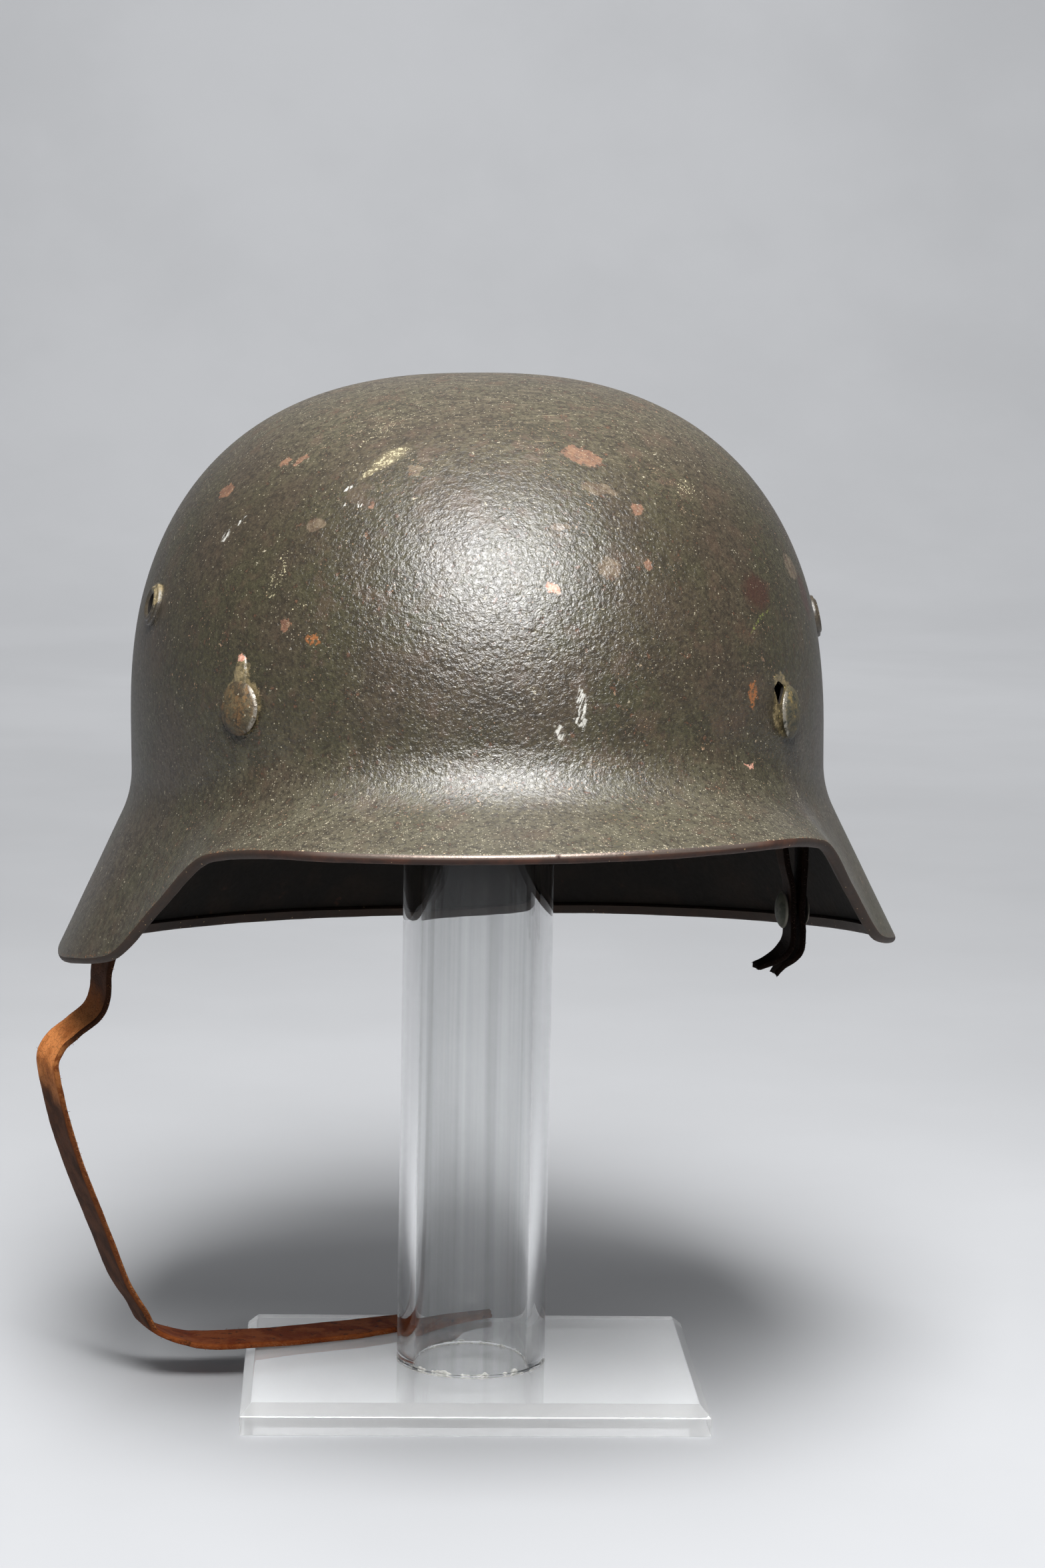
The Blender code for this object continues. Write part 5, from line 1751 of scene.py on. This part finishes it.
class HELMET_OT_straps(bpy.types.Operator):
    """Lays the torn leather chin straps over their bales, with their fibres"""
    bl_idname = "helmet.straps"
    bl_label = "Chin Straps"

    def execute(self, context):
        settings = settings_of("helmet_strap_settings")
        width, wall = settings.width / MM, settings.wall / MM
        tree = fibre_tree()
        for node, (side, tail, onward, turns, stud, frayed, tapers, seed) in STRAPS.items():
            leather_name, *wear = LEATHERS[node]
            fibre_name, tone = FIBRES[node]
            leather = strap_leather(leather_name, settings, *wear)
            fibre = leather_fibre(fibre_name, tinted(settings.raw, tone))
            stations = strap_stations(*strap_route(side, tail, onward, turns), width, tapers)
            strap = mesh_piece(node + "_worn", strap_form(stations, side, wall, TORN_DEPTH), [leather])
            edges = mesh_piece(node + "_edges", fray_lines(stations, frayed))
            lines = edges.data
            cleared([edges])
            values = {**in_metres(FIBRE_SIZES), "Seed": seed, "Material": fibre}
            hairs = grown(node + "_fibres", lines, tree, values)
            punch_strap(strap, stud)
            with context.temp_override(active_object=strap, selected_editable_objects=[strap, hairs]):
                bpy.ops.object.join()
            hand_over(strap, node, 60.0)
        return {"FINISHED"}


class HELMET_OT_studs(bpy.types.Operator):
    """Clamps a tarnished stud through each strap"""
    bl_idname = "helmet.studs"
    bl_label = "Strap Studs"

    def execute(self, context):
        settings = settings_of("helmet_fittings")
        wall = settings_of("helmet_strap_settings").wall / MM
        tree = fastener_tree()
        metal = stud_metal(settings)
        for node, (_, _, apart) in STUDS.items():
            reach = 0.5 * (apart + wall) + STUD_SPACE
            sizes = {**STUD_SIZES, "Head Rise": STUD_RISE, "Shank Radius": STUD_SHANK,
                     "Head Height": reach + STUD_SIZES["Head Under"],
                     "Shank Foot": -(reach + 0.5 * STUD_SIZES["Washer Thickness"])}
            values = {"Head Radius": settings.stud_radius, "Legs": False, "Material": metal}
            set_fastener(tree, node, stud_place(node), sizes, values)
        return {"FINISHED"}


class HELMET_OT_stand(bpy.types.Operator):
    """Builds the clear acrylic plate and tube"""
    bl_idname = "helmet.stand"
    bl_label = "Clear Stand"

    def execute(self, context):
        settings = settings_of("helmet_stand_settings")
        plate_clear = clear_acrylic(settings, "clear_plate", 0.08, 0.24, 0.0, 0.5)
        base = mesh_piece("stand_base_clear", base_form(), [plate_clear])
        hand_over(base, "stand_base", 5.0)
        tube_clear = clear_acrylic(settings, "clear_tube", 0.05, 0.0, 0.65, 0.2)
        tube = mesh_piece("stand_tube_clear", tube_form(), [tube_clear, dried_cement()])
        hand_over(tube, "stand_tube", 40.0)
        return {"FINISHED"}


def soft_light(name, azimuth, elevation, distance, size, power, spread, aim, mirrored):
    """A soft lamp aimed at a place, from an azimuth that starts at the camera's side."""
    turn, rise = math.radians(azimuth), math.radians(elevation)
    way = Vector((math.sin(turn) * math.cos(rise), -math.cos(turn) * math.cos(rise), math.sin(rise)))
    lamp = bpy.data.lights.new(name, "AREA")
    lamp.shape = "RECTANGLE"
    lamp.size, lamp.size_y = size
    lamp.energy = power
    lamp.spread = math.radians(spread)
    holder = bpy.data.objects.new(name, lamp)
    holder.location = Vector(aim) + way * distance
    holder.rotation_euler = (-way).to_track_quat("-Z", "Y").to_euler()
    holder.visible_glossy = mirrored
    bpy.context.scene.collection.objects.link(holder)


def dim_world():
    """Faint even light from all around."""
    world = bpy.data.worlds.new("studio")
    world.use_nodes = True
    background = world.node_tree.nodes["Background"]
    background.inputs["Color"].default_value = (0.80, 0.82, 0.86, 1.0)
    background.inputs["Strength"].default_value = 0.13
    return world


def photo_camera(focal_length):
    """The camera where it was fitted to stand, upright and looking slightly down."""
    lens = bpy.data.cameras.new("camera")
    lens.lens = focal_length
    lens.sensor_fit = "VERTICAL"
    lens.sensor_height = CAMERA_FILM
    lens.clip_start, lens.clip_end = 0.01, 30.0
    camera = bpy.data.objects.new("camera", lens)
    ahead = Vector((-math.sin(CAMERA_TURN), math.cos(CAMERA_TURN), 0.0))
    aside = Vector((math.cos(CAMERA_TURN), math.sin(CAMERA_TURN), 0.0))
    above = Vector((0.0, 0.0, 1.0))
    look = ahead * math.cos(CAMERA_DOWN) - above * math.sin(CAMERA_DOWN)
    upright = above * math.cos(CAMERA_DOWN) + ahead * math.sin(CAMERA_DOWN)
    right = aside * math.cos(CAMERA_ROLL) + upright * math.sin(CAMERA_ROLL)
    upright = upright * math.cos(CAMERA_ROLL) - aside * math.sin(CAMERA_ROLL)
    turn = Matrix((right, upright, -look)).transposed().to_4x4()
    spot = -CAMERA_AWAY * ahead + CAMERA_HEIGHT * above + CAMERA_ASIDE * aside
    camera.matrix_world = Matrix.Translation(spot * MM) @ turn
    bpy.context.scene.collection.objects.link(camera)
    return camera


def backdrop_form():
    """A floor that sweeps up behind into a wall."""
    form = bmesh.new()
    back, bend = 2.2, 0.9
    profile = [(-3.2, FLOOR), (-1.0, FLOOR), (1.0, FLOOR), (back, FLOOR)]
    for angle in range(6, 91, 6):
        turn = math.radians(angle)
        profile.append((back + bend * math.sin(turn), bend - bend * math.cos(turn)))
    profile += [(back + bend, 2.0), (back + bend, 3.4)]
    widths = np.linspace(-4.0, 4.0, 9)
    rows = [[form.verts.new((x / MM, y / MM, z / MM)) for x in widths] for y, z in profile]
    for first, second in zip(rows, rows[1:]):
        for i in range(len(widths) - 1):
            form.faces.new((first[i], first[i + 1], second[i + 1], second[i]))
    return form


class HELMET_OT_stage(bpy.types.Operator):
    """Sets the pale floor, the soft studio light and the camera"""
    bl_idname = "helmet.stage"
    bl_label = "Floor, Light and Camera"

    def execute(self, context):
        settings = settings_of("helmet_stand_settings")
        scene = context.scene
        floor = mesh_piece("pale_floor", backdrop_form(), [backdrop_cloth(settings)])
        for name, values in LAMPS.items():
            soft_light(name, *values)
        scene.world = dim_world()
        scene.camera = photo_camera(settings.lens)
        scene.view_settings.view_transform = "Standard"
        scene.cycles.max_bounces = 32
        scene.cycles.glossy_bounces = 16
        scene.cycles.transmission_bounces = 24
        return {"FINISHED"}


class HELMET_PT_panel(bpy.types.Panel):
    """Sizes, colours and the making of each piece"""
    bl_label = "Helmet"
    bl_idname = "HELMET_PT_panel"
    bl_space_type = "VIEW_3D"
    bl_region_type = "UI"
    bl_category = "Helmet"

    def draw(self, context):
        for name in SETTINGS:
            box = self.layout.box()
            group = settings_of(name)
            for key in group.bl_rna.properties.keys():
                if key not in ("rna_type", "name"):
                    box.prop(group, key)
        for operator in OPERATORS:
            self.layout.operator(operator.bl_idname)


SETTINGS = {
    "helmet_shell_settings": HelmetShellSettings,
    "helmet_fittings": HelmetFittingSettings,
    "helmet_strap_settings": HelmetStrapSettings,
    "helmet_stand_settings": HelmetStandSettings,
}
OPERATORS = (HELMET_OT_stage, HELMET_OT_shell, HELMET_OT_hoop, HELMET_OT_rivets, HELMET_OT_straps,
             HELMET_OT_studs, HELMET_OT_stand)


def register():
    """Adds the settings, the operators and the panel."""
    for group in SETTINGS.values():
        bpy.utils.register_class(group)
    for operator in OPERATORS:
        bpy.utils.register_class(operator)
    bpy.utils.register_class(HELMET_PT_panel)
    for name, group in SETTINGS.items():
        setattr(bpy.types.Scene, name, PointerProperty(type=group))


def unregister():
    """Takes them out again."""
    for name in SETTINGS:
        delattr(bpy.types.Scene, name)
    bpy.utils.unregister_class(HELMET_PT_panel)
    for operator in reversed(OPERATORS):
        bpy.utils.unregister_class(operator)
    for group in SETTINGS.values():
        bpy.utils.unregister_class(group)


def main():
    """Makes every piece."""
    register()
    bpy.ops.helmet.stage()
    bpy.ops.helmet.shell()
    bpy.ops.helmet.hoop()
    bpy.ops.helmet.rivets()
    bpy.ops.helmet.straps()
    bpy.ops.helmet.studs()
    bpy.ops.helmet.stand()
    bpy.context.view_layer.update()


if __name__ == "__main__":
    main()
